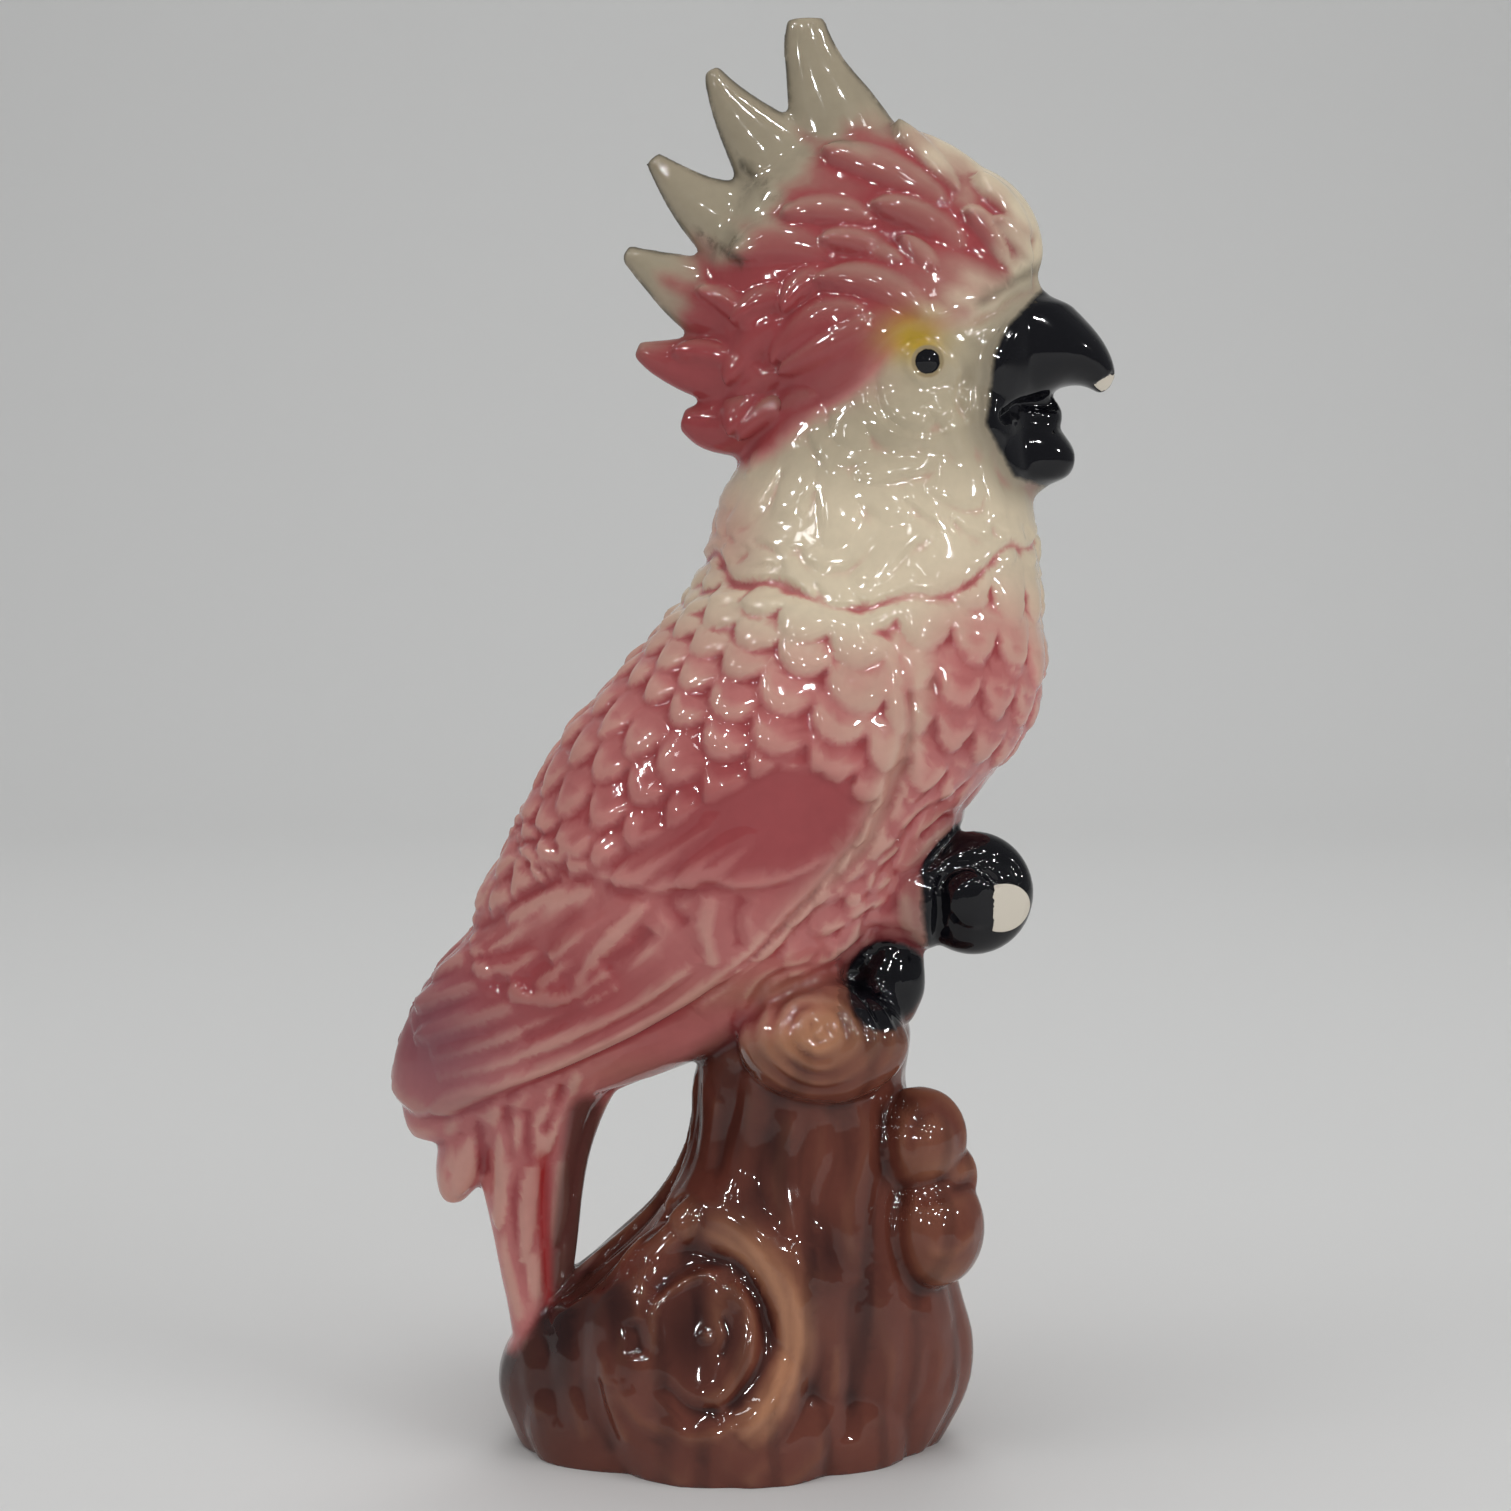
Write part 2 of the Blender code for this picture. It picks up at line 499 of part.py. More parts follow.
def polyline_reach(points, line, closed=False):
    """Distance to a line of points, positive on its left or inside a closed outline."""
    line = np.asarray(line, float)
    ends = np.roll(line, -1, axis=0) if closed else line[1:]
    best = np.full(len(points), 1e9)
    side = np.ones(len(points))
    inside = np.zeros(len(points), bool)
    for a, b in zip(line, ends):
        run, gap = b - a, points - a
        t = np.clip(gap @ run / (run @ run), 0, 1)
        distance = np.linalg.norm(gap - t[:, None] * run, axis=1)
        nearer = distance < best - 1e-9
        best[nearer] = distance[nearer]
        side[nearer] = np.sign(run[0] * gap[nearer, 1] - run[1] * gap[nearer, 0])
        crosses = (a[1] > points[:, 1]) != (b[1] > points[:, 1])
        inside ^= crosses & (points[:, 0] < a[0] + gap[:, 1] * run[0] / (run[1] or 1e-9))
    return best * (np.where(inside, 1, -1) if closed else side)


def near_line(points, line, margin):
    """Points within a margin of a line: distance, how far along it they lie, and whether on its left."""
    within = (points > line.min(0) - margin) & (points < line.max(0) + margin)
    near = np.flatnonzero(np.all(within, axis=1))
    gaps = points[near, None] - line[None]
    distance = np.linalg.norm(gaps, axis=2)
    nearest = distance.argmin(1)
    run, gap = np.gradient(line, axis=0)[nearest], gaps[np.arange(len(near)), nearest]
    left = run[:, 0] * gap[:, 1] - run[:, 1] * gap[:, 0] > 0
    return near, distance.min(1), nearest / (len(line) - 1), left


def bulge(along, power):
    """0 at both ends of a line and 1 in its middle."""
    return (4 * along * (1 - along)) ** power


def strokes(points, table, rise, quill=0.0):
    """Height of overlapping leaf shapes, each thickest toward its tip and crisp along its left edge."""
    height = np.zeros(len(points))
    t = np.linspace(0, 1, LINE_SAMPLES)[:, None]
    for root, bend, tip, half in table:
        line = (1 - t) ** 2 * np.array(root) + 2 * t * (1 - t) * np.array(bend) + t ** 2 * np.array(tip)
        near, distance, along, left = near_line(points, line, half)
        reach = np.clip(distance / (half * (0.3 + 0.7 * bulge(along, 0.5))), 0, 1)
        rounded = np.where(left, 1 - reach ** 3, (1 - reach ** 2) ** 1.4)
        groove = 1 - quill * np.exp(-(distance / 0.6) ** 2)
        height[near] = np.maximum(height[near], rise * (0.3 + 0.7 * along) * rounded * groove)
    return height


def lines(points, table):
    """Height of long rounded ridges and, where negative, grooves that thin out at both ends."""
    height = np.zeros(len(points))
    for *path, half, rise in table:
        near, distance, along, _ = near_line(points, smooth_rows(path, 12), 3 * half)
        taper = np.clip(0.15 + 1.4 * bulge(along, 0.6), 0, 1)
        height[near] += rise * taper * np.exp(-(distance / half) ** 2)
    return height


def ledges(points, table):
    """Height of overlapping edges: a step up across the line that sinks away behind it."""
    height = np.zeros(len(points))
    for *path, rise, fade in table:
        line = smooth_rows(path, 8)
        near, _, along, _ = near_line(points, line, 3 * fade)
        reach = polyline_reach(points[near], line)
        edge = step(-EDGE_WIDTH, EDGE_WIDTH, reach) * np.exp(-np.maximum(reach, 0) / fade)
        height[near] += rise * np.clip(1.6 * bulge(along, 0.6), 0, 1) * edge
    return height


def scale_rows(along, angle, girth, pitch, width, rise, wander=0.0):
    """Height of rows of overlapping round-ended feathers, along the body and round it."""
    height = np.zeros(len(along))
    reach = pitch * FEATHER_OVERLAP
    along = along + wander * (np.sin(3.1 * angle + 0.21 * along) + np.sin(7.3 * angle + 1.9))
    angle = angle + 0.05 * wander * np.sin(0.33 * along + 2.0 * angle)
    for back in (0, 1):
        row = np.floor(along / pitch) - back
        count = np.maximum(np.round(np.interp(row * pitch, *girth) / width), 6)
        turn = angle / (2 * math.pi) * count + 0.5 * (row % 2)
        column = np.floor(turn) % count
        drift = np.sin(row * 12.9898 + column * 78.233) * 43758.5453
        drift = (drift - np.floor(drift) - 0.5) * 0.22
        across = 2 * (turn - np.floor(turn)) - 1
        out = np.clip((along - row * pitch) / reach / (1 - 0.40 * np.abs(across) ** 2.2 + drift), 0, 1)
        lift = rise * 1.45 * out ** 1.1 * (1 - out ** 5) * (1 - 0.55 * across ** 2)
        height = np.maximum(height, np.where(out < 1, lift, 0))
    return height


def body_frame(points):
    """Distance along the torso's axis, angle round it, and its girth along the way."""
    rows = smooth_rows([(*front, *back, half) for front, back, half in TORSO])
    middle = (rows[:, :2] + rows[:, 2:4]) / 2
    depth = np.linalg.norm(rows[:, :2] - rows[:, 2:4], axis=1) / 2
    run = np.linalg.norm(np.diff(middle, axis=0), axis=1)
    travel = np.concatenate([[0], np.cumsum(run)])
    along = np.gradient(middle, axis=0)
    along /= np.linalg.norm(along, axis=1)[:, None]
    flat = points[:, [0, 2]]
    nearest = np.linalg.norm(flat[:, None] - middle[None], axis=2).argmin(1)
    gap = flat - middle[nearest]
    tangent = along[nearest]
    u = travel[nearest] + (gap * tangent).sum(1)
    outward = gap[:, 0] * tangent[:, 1] - gap[:, 1] * tangent[:, 0]
    half = np.interp(u, travel, rows[:, 4])
    deep = np.interp(u, travel, depth)
    girth = math.pi * (rows[:, 4] + depth)
    return u, np.arctan2(points[:, 1] / half, outward / deep), (travel, girth)


def relief(points, normals):
    """Height of the carving over the smooth forms, at each point."""
    flat = points[:, [0, 2]]
    side = step(0.1, 0.5, np.abs(normals[:, 1]))
    on_crest = polyline_reach(flat, CREST_EDGE, closed=True)
    off_crest = step(2, -3, on_crest)
    beak = polyline_reach(flat, BEAK_GROOVE)
    bare = np.minimum(np.linalg.norm(flat - BALL, axis=1),
                      np.linalg.norm(flat - BEAK, axis=1) - BEAK_CLEARANCE)
    plumage = step(BARE_BALL, BARE_BALL + 4, bare)
    plumage *= step(PLUMAGE_FLOOR, PLUMAGE_FLOOR + 10, points[:, 2] + 0.4 * np.abs(flat[:, 0] - PERCH[0]))

    height = -PLUMAGE_DEPTH * plumage * off_crest
    height += feathers(flat, points, side, bare, beak, off_crest)
    height += side * strokes(flat, CREST_LOCKS, LOCK_RISE)
    height += side * strokes(flat, TAIL_FEATHERS, TAIL_RISE) * step(TAIL_TOP, TAIL_TOP - 8, points[:, 2])
    height += side * (lines(flat, TAIL_LINES) + ledges(flat, FLANK_LEDGES))
    height += stump_details(flat, points, side)
    height += face_details(flat, side, beak)
    height += claw_details(flat, points, side)
    return height


def feathers(flat, points, side, bare, beak, off_crest):
    """The wing, and the rows of feathers on the wing, breast, back and neck."""
    u, angle, girth = body_frame(points)
    on_wing = polyline_reach(flat, WING, closed=True)
    strip = BACK_STRIP * step(BACK_STRIP_FOOT, BACK_STRIP_TOP, points[:, 2])
    wing = step(0, WING_EDGE, on_wing) * step(strip, strip + 4, np.abs(points[:, 1]))
    height = WING_RISE * wing
    height += side * strokes(flat, FLIGHT_FEATHERS, QUILL_RISE, QUILL_GROOVE) * (on_wing > 0)
    height += side * (lines(flat, WING_LINES) + ledges(flat, WING_LEDGES))

    above_fold = polyline_reach(flat, NECK_FOLD) + FOLD_SCALLOP * np.cos(9 * angle)
    in_coverts = polyline_reach(flat, COVERTS, closed=True)
    above_flank = polyline_reach(flat, FLANK_LINE)
    above_leg = step(LEG_TOP, LEG_TOP + 10, points[:, 2] + 0.5 * np.maximum(-points[:, 0] - 20, 0))
    torso = step(0, 4, -above_fold) * off_crest * above_leg * step(BARE_BALL - 1, BARE_BALL + 3, bare)
    loose = BELLY_FEATHERS + (1 - BELLY_FEATHERS) * step(-6, 8, above_flank)
    scaled = torso * np.where(on_wing > 0, np.where(wing > 0.5, step(-1, 2, in_coverts), 1), loose)
    height += scaled * scale_rows(u, angle, girth, FEATHER_PITCH, FEATHER_WIDTH, FEATHER_RISE)

    neck = step(-0.5, 1, above_fold) * off_crest * step(-2, 6, NECK_TOP - points[:, 2]) * step(0, 8, -beak)
    height += neck * scale_rows(u, angle, girth, NECK_PITCH, NECK_WIDTH, NECK_RISE, NECK_WANDER)
    ruff = step(-2, 1.2, above_fold) * np.exp(-np.maximum(above_fold, 0) / FOLD_FADE)
    return height + FOLD_RISE * ruff * step(5, -5, np.abs(u - FOLD_MIDDLE) - FOLD_SPAN)


def stump_details(flat, points, side):
    """The ringed end of the perch, the big knot, the burls and the bark."""
    front = side * step(4, 10, -points[:, 1])
    height = side * lines(flat, BARK_LINES) * step(TAIL_BACK, TAIL_BACK + 10, points[:, 0])
    height += front * (lines(flat, BURL_LINES) + lines(flat, KNOT_LINES))
    bowl = np.linalg.norm((flat - KNOT_BOWL) / KNOT_BOWL_SIZE, axis=1)
    height -= front * BOWL_DEPTH * np.exp(-bowl ** 3)

    gap = (flat - PERCH) / (PERCH_STRETCH, 1)
    ring, swirl = np.linalg.norm(gap, axis=1), np.arctan2(gap[:, 1], gap[:, 0])
    wavy = ring * (1 + 0.07 * np.sin(2 * swirl + 1)) + 0.25 * np.sin(5 * swirl)
    rings = np.cos(2 * math.pi * wavy / RING_PITCH) * (0.65 + 0.35 * np.sin(3 * swirl + 0.8))
    rings *= step(PERCH_RADIUS, PERCH_RADIUS - 4, ring)
    rings *= step(PERCH_FACE, PERCH_FACE + 4, np.abs(points[:, 1]))
    height += RING_RISE * side * rings * step(PERCH_FLOOR, PERCH_FLOOR + 6, points[:, 2])

    turn = np.arctan2(points[:, 1], points[:, 0] - FOOT_CENTRE[0])
    folds = np.sin(BARK_FOLDS * turn + 0.06 * points[:, 2]) + 0.65 * np.sin((BARK_FOLDS + 10) * turn + 1.7)
    bark = step(BARK_TOP, BARK_TOP - 8, points[:, 2])
    bark *= step(TAIL_BACK, TAIL_BACK + 10, points[:, 0] + 0.3 * np.maximum(points[:, 2] - 30, 0))
    return height + BARK_RISE * bark * (1 - 0.9 * front) * folds


def face_details(flat, side, beak):
    """Eye, the bare disc round it, and the beak's edge and opening."""
    eye = np.linalg.norm(flat - EYE, axis=1)
    disc = np.linalg.norm(flat - EYE_DISC, axis=1)
    ball = step(EYE_RADIUS + 0.5, 0, eye)
    lid = np.exp(-((eye - LID_RADIUS) / 0.8) ** 2)
    height = side * (EYE_RISE * (ball + lid) - DISC_DEPTH * np.exp(-((disc - DISC_RADIUS) / 1.1) ** 2))
    near_beak = step(BEAK_REACH + 4, BEAK_REACH - 4, np.linalg.norm(flat - BEAK_MIDDLE, axis=1))
    height -= near_beak * BEAK_GROOVE_DEPTH * np.exp(-(beak / 1.4) ** 2)
    gape = polyline_reach(flat, GAPE)
    height -= side * near_beak * GAPE_DEPTH * np.exp(-(gape / 1.3) ** 2)
    return height + side * lines(flat, FACE_LINES)


def claw_details(flat, points, side):
    """The nut held in the raised claw, and the toes round it."""
    ball = np.linalg.norm(flat - BALL, axis=1)
    nut = step(NUT_RADIUS, NUT_RADIUS - 2.3, ball) * step(-4, -10, points[:, 1])
    return NUT_RISE * nut + side * lines(flat, CLAW_LINES)


def carve(obj):
    mesh = obj.data
    points = vertex_array(mesh, "co") / MM
    normals = vertex_array(mesh, "normal")
    points += normals * relief(points, normals)[:, None]
    for centre, direction, chip_reach in (BEAK_CHIP, CLAW_CHIP):
        facing = np.array(direction) / np.linalg.norm(direction)
        over = np.maximum((points - centre) @ facing, 0)
        near = np.linalg.norm(points - centre, axis=1) < chip_reach
        points -= np.where(near, over, 0)[:, None] * facing
    mesh.vertices.foreach_set("co", (points * MM).astype(np.float32).ravel())
    mesh.update()


def cutter(name, mesh, location, collection):
    obj = bpy.data.objects.new(name, mesh)
    obj.location = Vector(location) * MM
    obj.hide_render = True
    obj.display_type = "WIRE"
    collection.objects.link(obj)
    return obj


def foot_outline(mesh, scale):
    """The stump's outline at the ground, drawn in about its middle."""
    points = vertex_array(mesh, "co") / MM
    low = points[np.abs(points[:, 2]) < 2][:, :2] - FOOT_CENTRE
    outline = []
    for a in np.linspace(0, 2 * math.pi, RING_POINTS, endpoint=False):
        outward = np.array([math.cos(a), math.sin(a)])
        outline.append(scale * (low @ outward).max() * outward)
    return np.array(outline)


def foot_cutters(obj, collection):
    """What the ground, the shallow recess and the drain hole take away."""
    bm = bmesh.new()
    size = Vector((GROUND_SIZE, GROUND_SIZE, GROUND_DEPTH)) * MM
    bmesh.ops.create_cube(bm, size=1, matrix=Matrix.Diagonal((*size, 1)))
    ground = cutter("ground_cutter", finished_mesh(bm), (0, 0, -GROUND_DEPTH / 2), collection)

    rings = [[(x * s, y * s, z) for x, y in foot_outline(obj.data, RECESS_SCALE)]
             for s, z in ((1.02, -2), (1, 0), (0.97, RECESS_DEPTH))]
    recess = cutter("recess_cutter", ring_mesh(rings), (*FOOT_CENTRE, 0), collection)

    bm = bmesh.new()
    radius = DRAIN_DIAMETER / 2 * MM
    bmesh.ops.create_cone(bm, cap_ends=True, segments=RING_POINTS, radius1=radius,
                          radius2=radius * DRAIN_TAPER, depth=DRAIN_DEPTH * MM)
    drain = cutter("drain_cutter", finished_mesh(bm), (*FOOT_CENTRE, DRAIN_DEPTH / 2), collection)
    return ground, recess, drain


def centre_on_origin(bird, tools, collection):
    """Puts the middle of the figure's box over the origin, with the foot at the ground."""
    origin = bpy.data.objects.new("base_centre", None)
    collection.objects.link(origin)
    for obj in (bird, *tools):
        obj.parent = origin
    bpy.context.view_layer.update()
    graph = bpy.context.evaluated_depsgraph_get()
    box = [Vector(corner) for corner in bird.evaluated_get(graph).bound_box]
    middle = sum(box, Vector()) / len(box)
    origin.location = (-middle.x, -middle.y, 0)
    bpy.context.view_layer.update()


def glaze():
    material = bpy.data.materials.new("glazed_ceramic")
    material.use_nodes = True
    shader = material.node_tree.nodes["Principled BSDF"]
    shader.inputs["Base Color"].default_value = (0.46, 0.17, 0.17, 1)
    shader.inputs["Roughness"].default_value = 0.12
    shader.inputs["Metallic"].default_value = 0.0
    return material


def main():
    clear_scene()
    figure = bpy.data.collections.new(NAME)
    cutters = bpy.data.collections.new(NAME + "_cutters")
    for collection in (figure, cutters):
        bpy.context.scene.collection.children.link(collection)

    bird = fused_forms()
    carve(bird)
    bpy.context.scene.collection.objects.unlink(bird)
    figure.objects.link(bird)

    soften = bird.modifiers.new("Soften carving", "SMOOTH")
    soften.factor = 0.5
    soften.iterations = round(RELIEF_SOFTENING)
    reduce = bird.modifiers.new("Reduce", "DECIMATE")
    reduce.use_collapse_triangulate = True
    reduce.ratio = TRIANGLES / (2 * len(bird.data.polygons))
    tools = foot_cutters(bird, cutters)
    for tool in tools:
        cut = bird.modifiers.new("Cut " + tool.name, "BOOLEAN")
        cut.operation = "DIFFERENCE"
        cut.solver = "EXACT"
        cut.object = tool
    bird.data.materials.clear()
    bird.data.materials.append(glaze())
    bird.data.shade_smooth()
    centre_on_origin(bird, tools, figure)


main()
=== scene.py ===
import math

import bmesh
import bpy
import numpy as np
from mathutils import Matrix, Vector


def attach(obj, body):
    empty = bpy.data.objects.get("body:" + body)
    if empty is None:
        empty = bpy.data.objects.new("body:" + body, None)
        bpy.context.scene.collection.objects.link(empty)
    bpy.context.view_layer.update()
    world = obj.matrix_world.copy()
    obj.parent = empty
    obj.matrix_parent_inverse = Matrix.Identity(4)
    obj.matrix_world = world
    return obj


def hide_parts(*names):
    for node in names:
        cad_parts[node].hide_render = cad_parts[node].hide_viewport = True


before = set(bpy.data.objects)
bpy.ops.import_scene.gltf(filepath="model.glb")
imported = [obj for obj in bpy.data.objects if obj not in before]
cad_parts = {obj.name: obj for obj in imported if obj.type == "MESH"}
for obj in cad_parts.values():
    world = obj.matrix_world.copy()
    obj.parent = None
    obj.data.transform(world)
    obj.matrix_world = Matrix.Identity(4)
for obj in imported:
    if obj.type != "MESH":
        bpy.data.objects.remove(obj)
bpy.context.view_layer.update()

NAME = "parrot_figurine"
MM = 0.001

# The tables are in millimetres, in the plane seen from the near side; CENTRING puts them in the frame.
CENTRING = (1.393, 0, 0)

# Mesh fineness
VOXEL = 0.8
RING_POINTS = 36
SPAN_STEPS = 4
SOFTENING = 10
RELIEF_SOFTENING = 2
BALL_ROWS = 24
LINE_SAMPLES = 33
HOLLOW_ROUNDS, BROAD_ROUNDS = 14, 60
TRIANGLES = 192000
TURN = np.linspace(0, 2 * math.pi, RING_POINTS, endpoint=False)

# Plumage
PLUMAGE_DEPTH = 1.7
PLUMAGE_FLOOR = 106
BARE_BALL = 15
BEAK_CLEARANCE = 4
FEATHER_PITCH = 8.4
FEATHER_WIDTH = 11.5
FEATHER_OVERLAP = 1.7
FEATHER_RISE = 2.4
BELLY_FEATHERS = 0.5
LEG_TOP = 112
NECK_TOP = 246
NECK_PITCH = 9.5
NECK_WIDTH = 11
NECK_RISE = 1.5
NECK_WANDER = 2.0
FOLD_RISE = 1.1
FOLD_SCALLOP = 1.6
FOLD_FADE = 6
FOLD_MIDDLE = 45
FOLD_SPAN = 30
EDGE_WIDTH = 1.2
FEATHER_DRIFT = 0.22

# Wing, crest and tail
WING_RISE = 2.6
WING_EDGE = 4.5
BACK_STRIP = 9.0
BACK_STRIP_TOP = 190
BACK_STRIP_FOOT = 80
LOCK_RISE = 2.8
QUILL_RISE = 1.3
QUILL_GROOVE = 0.35
QUILL_WIDTH = 0.6
TAIL_RISE = 0.9
TAIL_TOP = 94
TAIL_BACK = -60

# Stump
PERCH_STRETCH = 1.25
PERCH_RADIUS = 17
PERCH_FLOOR = 80
PERCH_FACE = 17
RING_RISE = 0.5
RING_PITCH = 3.6
BOWL_DEPTH = 3.2
BARK_TOP = 92
BARK_FOLDS = 13
BARK_RISE = 0.7

# Head and claw
EYE_RISE = 0.9
EYE_RADIUS = 2.8
LID_RADIUS, LID_WIDTH = 4.3, 0.8
DISC_RADIUS, DISC_WIDTH = 10.5, 1.1
DISC_DEPTH = 0.6
BEAK_MIDDLE = (60, 246)
BEAK_REACH = 22
BEAK_GROOVE_DEPTH, BEAK_GROOVE_WIDTH = 1.0, 1.4
GAPE_DEPTH, GAPE_WIDTH = 2.0, 1.3
NUT_RADIUS = 6.8
NUT_RISE = 0.9

# Underside
GROUND_SIZE = 300
GROUND_DEPTH = 40
RECESS_SCALE = 0.76
RECESS_DEPTH = 3.0
# Scale and height of the recess's sections
RECESS_SECTIONS = ((1.02, -2), (1, 0), (0.97, RECESS_DEPTH))
DRAIN_DIAMETER = 18
DRAIN_DEPTH = 30
DRAIN_TAPER = 0.9
FOOT_CENTRE = (-5, 0)

# Sections: x and z of the front, x and z of the back, half width
TORSO = [
    (60, 250, 6, 247, 22), (63.5, 234, -2.2, 233, 26.5), (64.6, 220, -8.8, 222, 30.5),
    (65.5, 207, -12.2, 208, 35), (66.5, 194, -20.4, 194, 40), (67, 181, -32.6, 180, 43),
    (62.5, 167, -44.8, 166, 44.5), (51.5, 153, -52.2, 152, 43.5), (42, 138, -58, 140, 41),
    (33, 122, -62.5, 129.5, 37), (19, 108, -66, 121, 32), (0, 97, -72, 114, 27),
    (-18, 90, -79, 104.5, 22.5), (-34, 84, -83, 94.5, 19), (-48, 78, -84.3, 84.5, 15),
    (-62, 74, -83.3, 76.5, 9.5), (-71, 72, -80.5, 72.8, 4),
]
UPPER_BEAK = [
    (57, 278, 50, 236, 14.5), (66, 270.5, 58, 239.5, 13.5), (72.7, 264.3, 64.5, 243.5, 11.5),
    (78, 258.6, 69.5, 246.5, 9), (81, 253.4, 74, 247, 6.4), (81.8, 249.6, 76.8, 246, 4.4),
    (80.8, 246.6, 78.2, 245, 2.6),
]
LOWER_BEAK = [
    (50, 241, 53, 221, 12), (59, 242, 60, 220, 11.5), (65, 240.5, 65.5, 221.8, 10),
    (70, 236.5, 70, 225, 7.5), (72.8, 232.5, 72.6, 228.3, 4.5),
]
TAIL = [
    (-26, 94, -70, 90, 17), (-34, 82, -69, 78, 14), (-38.5, 71, -66, 70, 12.3),
    (-40.5, 61, -63.5, 61, 11.3), (-41.5, 51, -61.5, 51, 10.6), (-42.6, 42, -60, 42, 10.2),
    (-45, 32, -58, 32, 10), (-47, 18, -56, 18, 9.5),
]
STUMP = [
    (33, 114, -2, 114, 15), (35.5, 105, -8, 105, 20), (36, 96, -12, 96, 22.5), (35, 87, -14.2, 87, 23),
    (37.5, 77, -14.8, 77, 23.5), (39, 67, -17.6, 67, 25), (42, 56, -25, 56, 27), (45, 45, -38, 45, 29),
    (47.5, 35, -50, 35, 30.5), (50, 25, -58, 25, 29.5), (49.5, 15, -60.5, 15, 27), (46, 6, -58, 6, 24),
    (41, -2, -54, -2, 21), (31, -7, -44, -7, 18),
]
# Crest points and tail side feather: spine x, z, half width, half thickness
SPIKES = [
    [(34, 270, 14, 14), (26, 291, 13, 9), (18, 307, 10.6, 5.5), (13.6, 317.5, 7.2, 4.2),
     (11.6, 325, 5.4, 3.4), (11.2, 329.8, 4.2, 2.6)],
    [(20, 278, 13, 14), (10.5, 290, 12.4, 9), (4.2, 298.3, 10.2, 5.5), (-0.6, 303.8, 7.8, 4.6),
     (-5, 309.3, 5.4, 3.7), (-8.4, 314.6, 3.2, 2.9), (-10, 318, 1.8, 2.2)],
    [(15, 270, 13, 14), (3.4, 278, 12, 9), (-6, 284, 9.8, 5.5), (-10.3, 286.4, 8.2, 4.7),
     (-14.2, 289.2, 6.4, 4), (-19, 293.6, 4.2, 3), (-23.4, 298.2, 2, 2.3)],
    [(12, 262, 12, 14), (-2, 265, 10.5, 9), (-12.6, 267.6, 9, 5.5), (-16.5, 269.5, 7.6, 4.6),
     (-20.4, 271.7, 6, 3.9), (-25.8, 274.8, 3.6, 2.9), (-29.6, 277.2, 1.9, 2.2)],
    [(10, 252, 11, 14), (-4, 251, 9, 9), (-13.5, 251.6, 7, 5.5), (-18, 252.4, 5.6, 4.6),
     (-23.2, 253.8, 3.8, 3.5), (-27, 255.3, 2, 2.4)],
    [(5, 241, 9, 12), (-6, 238, 7.2, 8), (-12, 238.2, 5.2, 5.2), (-16.8, 239.6, 2.6, 3)],
    [(-54, 94, 10, 14), (-64, 78, 8.4, 11), (-68.5, 66.5, 6.2, 8.5), (-70.4, 60.5, 4, 6),
     (-70.8, 57.8, 2, 4)],
]
# Rounded masses: centre, half sizes, and lean in degrees where there is one
MASSES = [
    ((34, 0, 255), (32.5, 25.5, 31)),
    ((26, 0, 268), (38, 17, 38)),
    ((43.4, 0, 276.2), (22, 15, 21.3), -20),
    ((35, -9, 238), (24, 18, 20)),
    ((35, 9, 238), (24, 18, 20)),
    ((61, 0, 240), (9, 7.5, 6.5)),
    ((49.6, -12, 132.2), (13.8, 10, 14.2)),
    ((31.3, -10, 111.5), (9.4, 9, 11.4)),
    ((29.5, 8, 111), (9, 8, 10.5)),
    ((15.5, -20, 100), (19.6, 13.5, 14.6)),
    ((15.5, 20, 100), (18, 12, 13.5)),
    ((37.6, -11, 75), (10.2, 12.5, 11.5), 10),
    ((41, -12, 54.5), (11.4, 13.5, 14), -6),
    ((42, -9, 66), (9, 9, 9)),
    ((-12, -14, 22), (30, 21.5, 33)),
    ((-26, -8, 10), (28, 18, 24)),
    ((-6, -18, 8), (26, 18.5, 24)),
    ((14, -10, 8), (22, 17, 22)),
    ((-5, 15, 12), (51, 25, 28)),
]
# Limbs: x, y, z, radius
RAISED_LEG = [(22, -8, 134, 13), (32, -10, 131.5, 12), (42, -12, 130.5, 11)]
BARK_ROOT = [(-6, -13.5, 62, 5), (-21.5, -17, 48.5, 6), (-33, -15, 38, 5.5), (-46, -11, 27, 5)]

# Leaf shapes: root, bend, tip, half width
CREST_LOCKS = [
    ((42, 288), (30, 297.5), (16, 299), 4.5), ((46, 278), (38, 287), (26.5, 287), 4.2),
    ((26, 284), (16, 288), (6.5, 285), 3.6), ((32, 275), (23, 281), (15, 279.5), 3.5),
    ((16, 276), (6, 284), (-4.5, 276), 5.5), ((18, 272), (9, 272), (6.5, 264), 3.6),
    ((38, 263), (26, 274), (14, 270.5), 4.2), ((23, 264), (10, 264), (4.5, 253), 4.6),
    ((25, 262), (18, 258), (6.5, 250.5), 3.8), ((5, 262), (-2.5, 258), (-6, 248.5), 4.2),
    ((8, 267), (1, 268), (-4.5, 262), 3.5), ((5, 250), (-4.5, 247), (-5.5, 237), 4.2),
    ((13, 245), (3, 244), (-3.5, 236), 3.2), ((45, 291), (36, 302), (31.5, 304.5), 3),
    ((61, 280), (56, 290), (49.5, 293), 3.2), ((56, 275), (51, 285), (47, 285.5), 3),
    ((62, 275), (58, 282), (53, 284), 2.6), ((40, 273), (36, 278), (32, 279.5), 2.8),
    ((2, 255), (-1.5, 266), (-12.5, 268.5), 3.2), ((2, 248.5), (-4.5, 257), (-18, 254.5), 3.4),
]
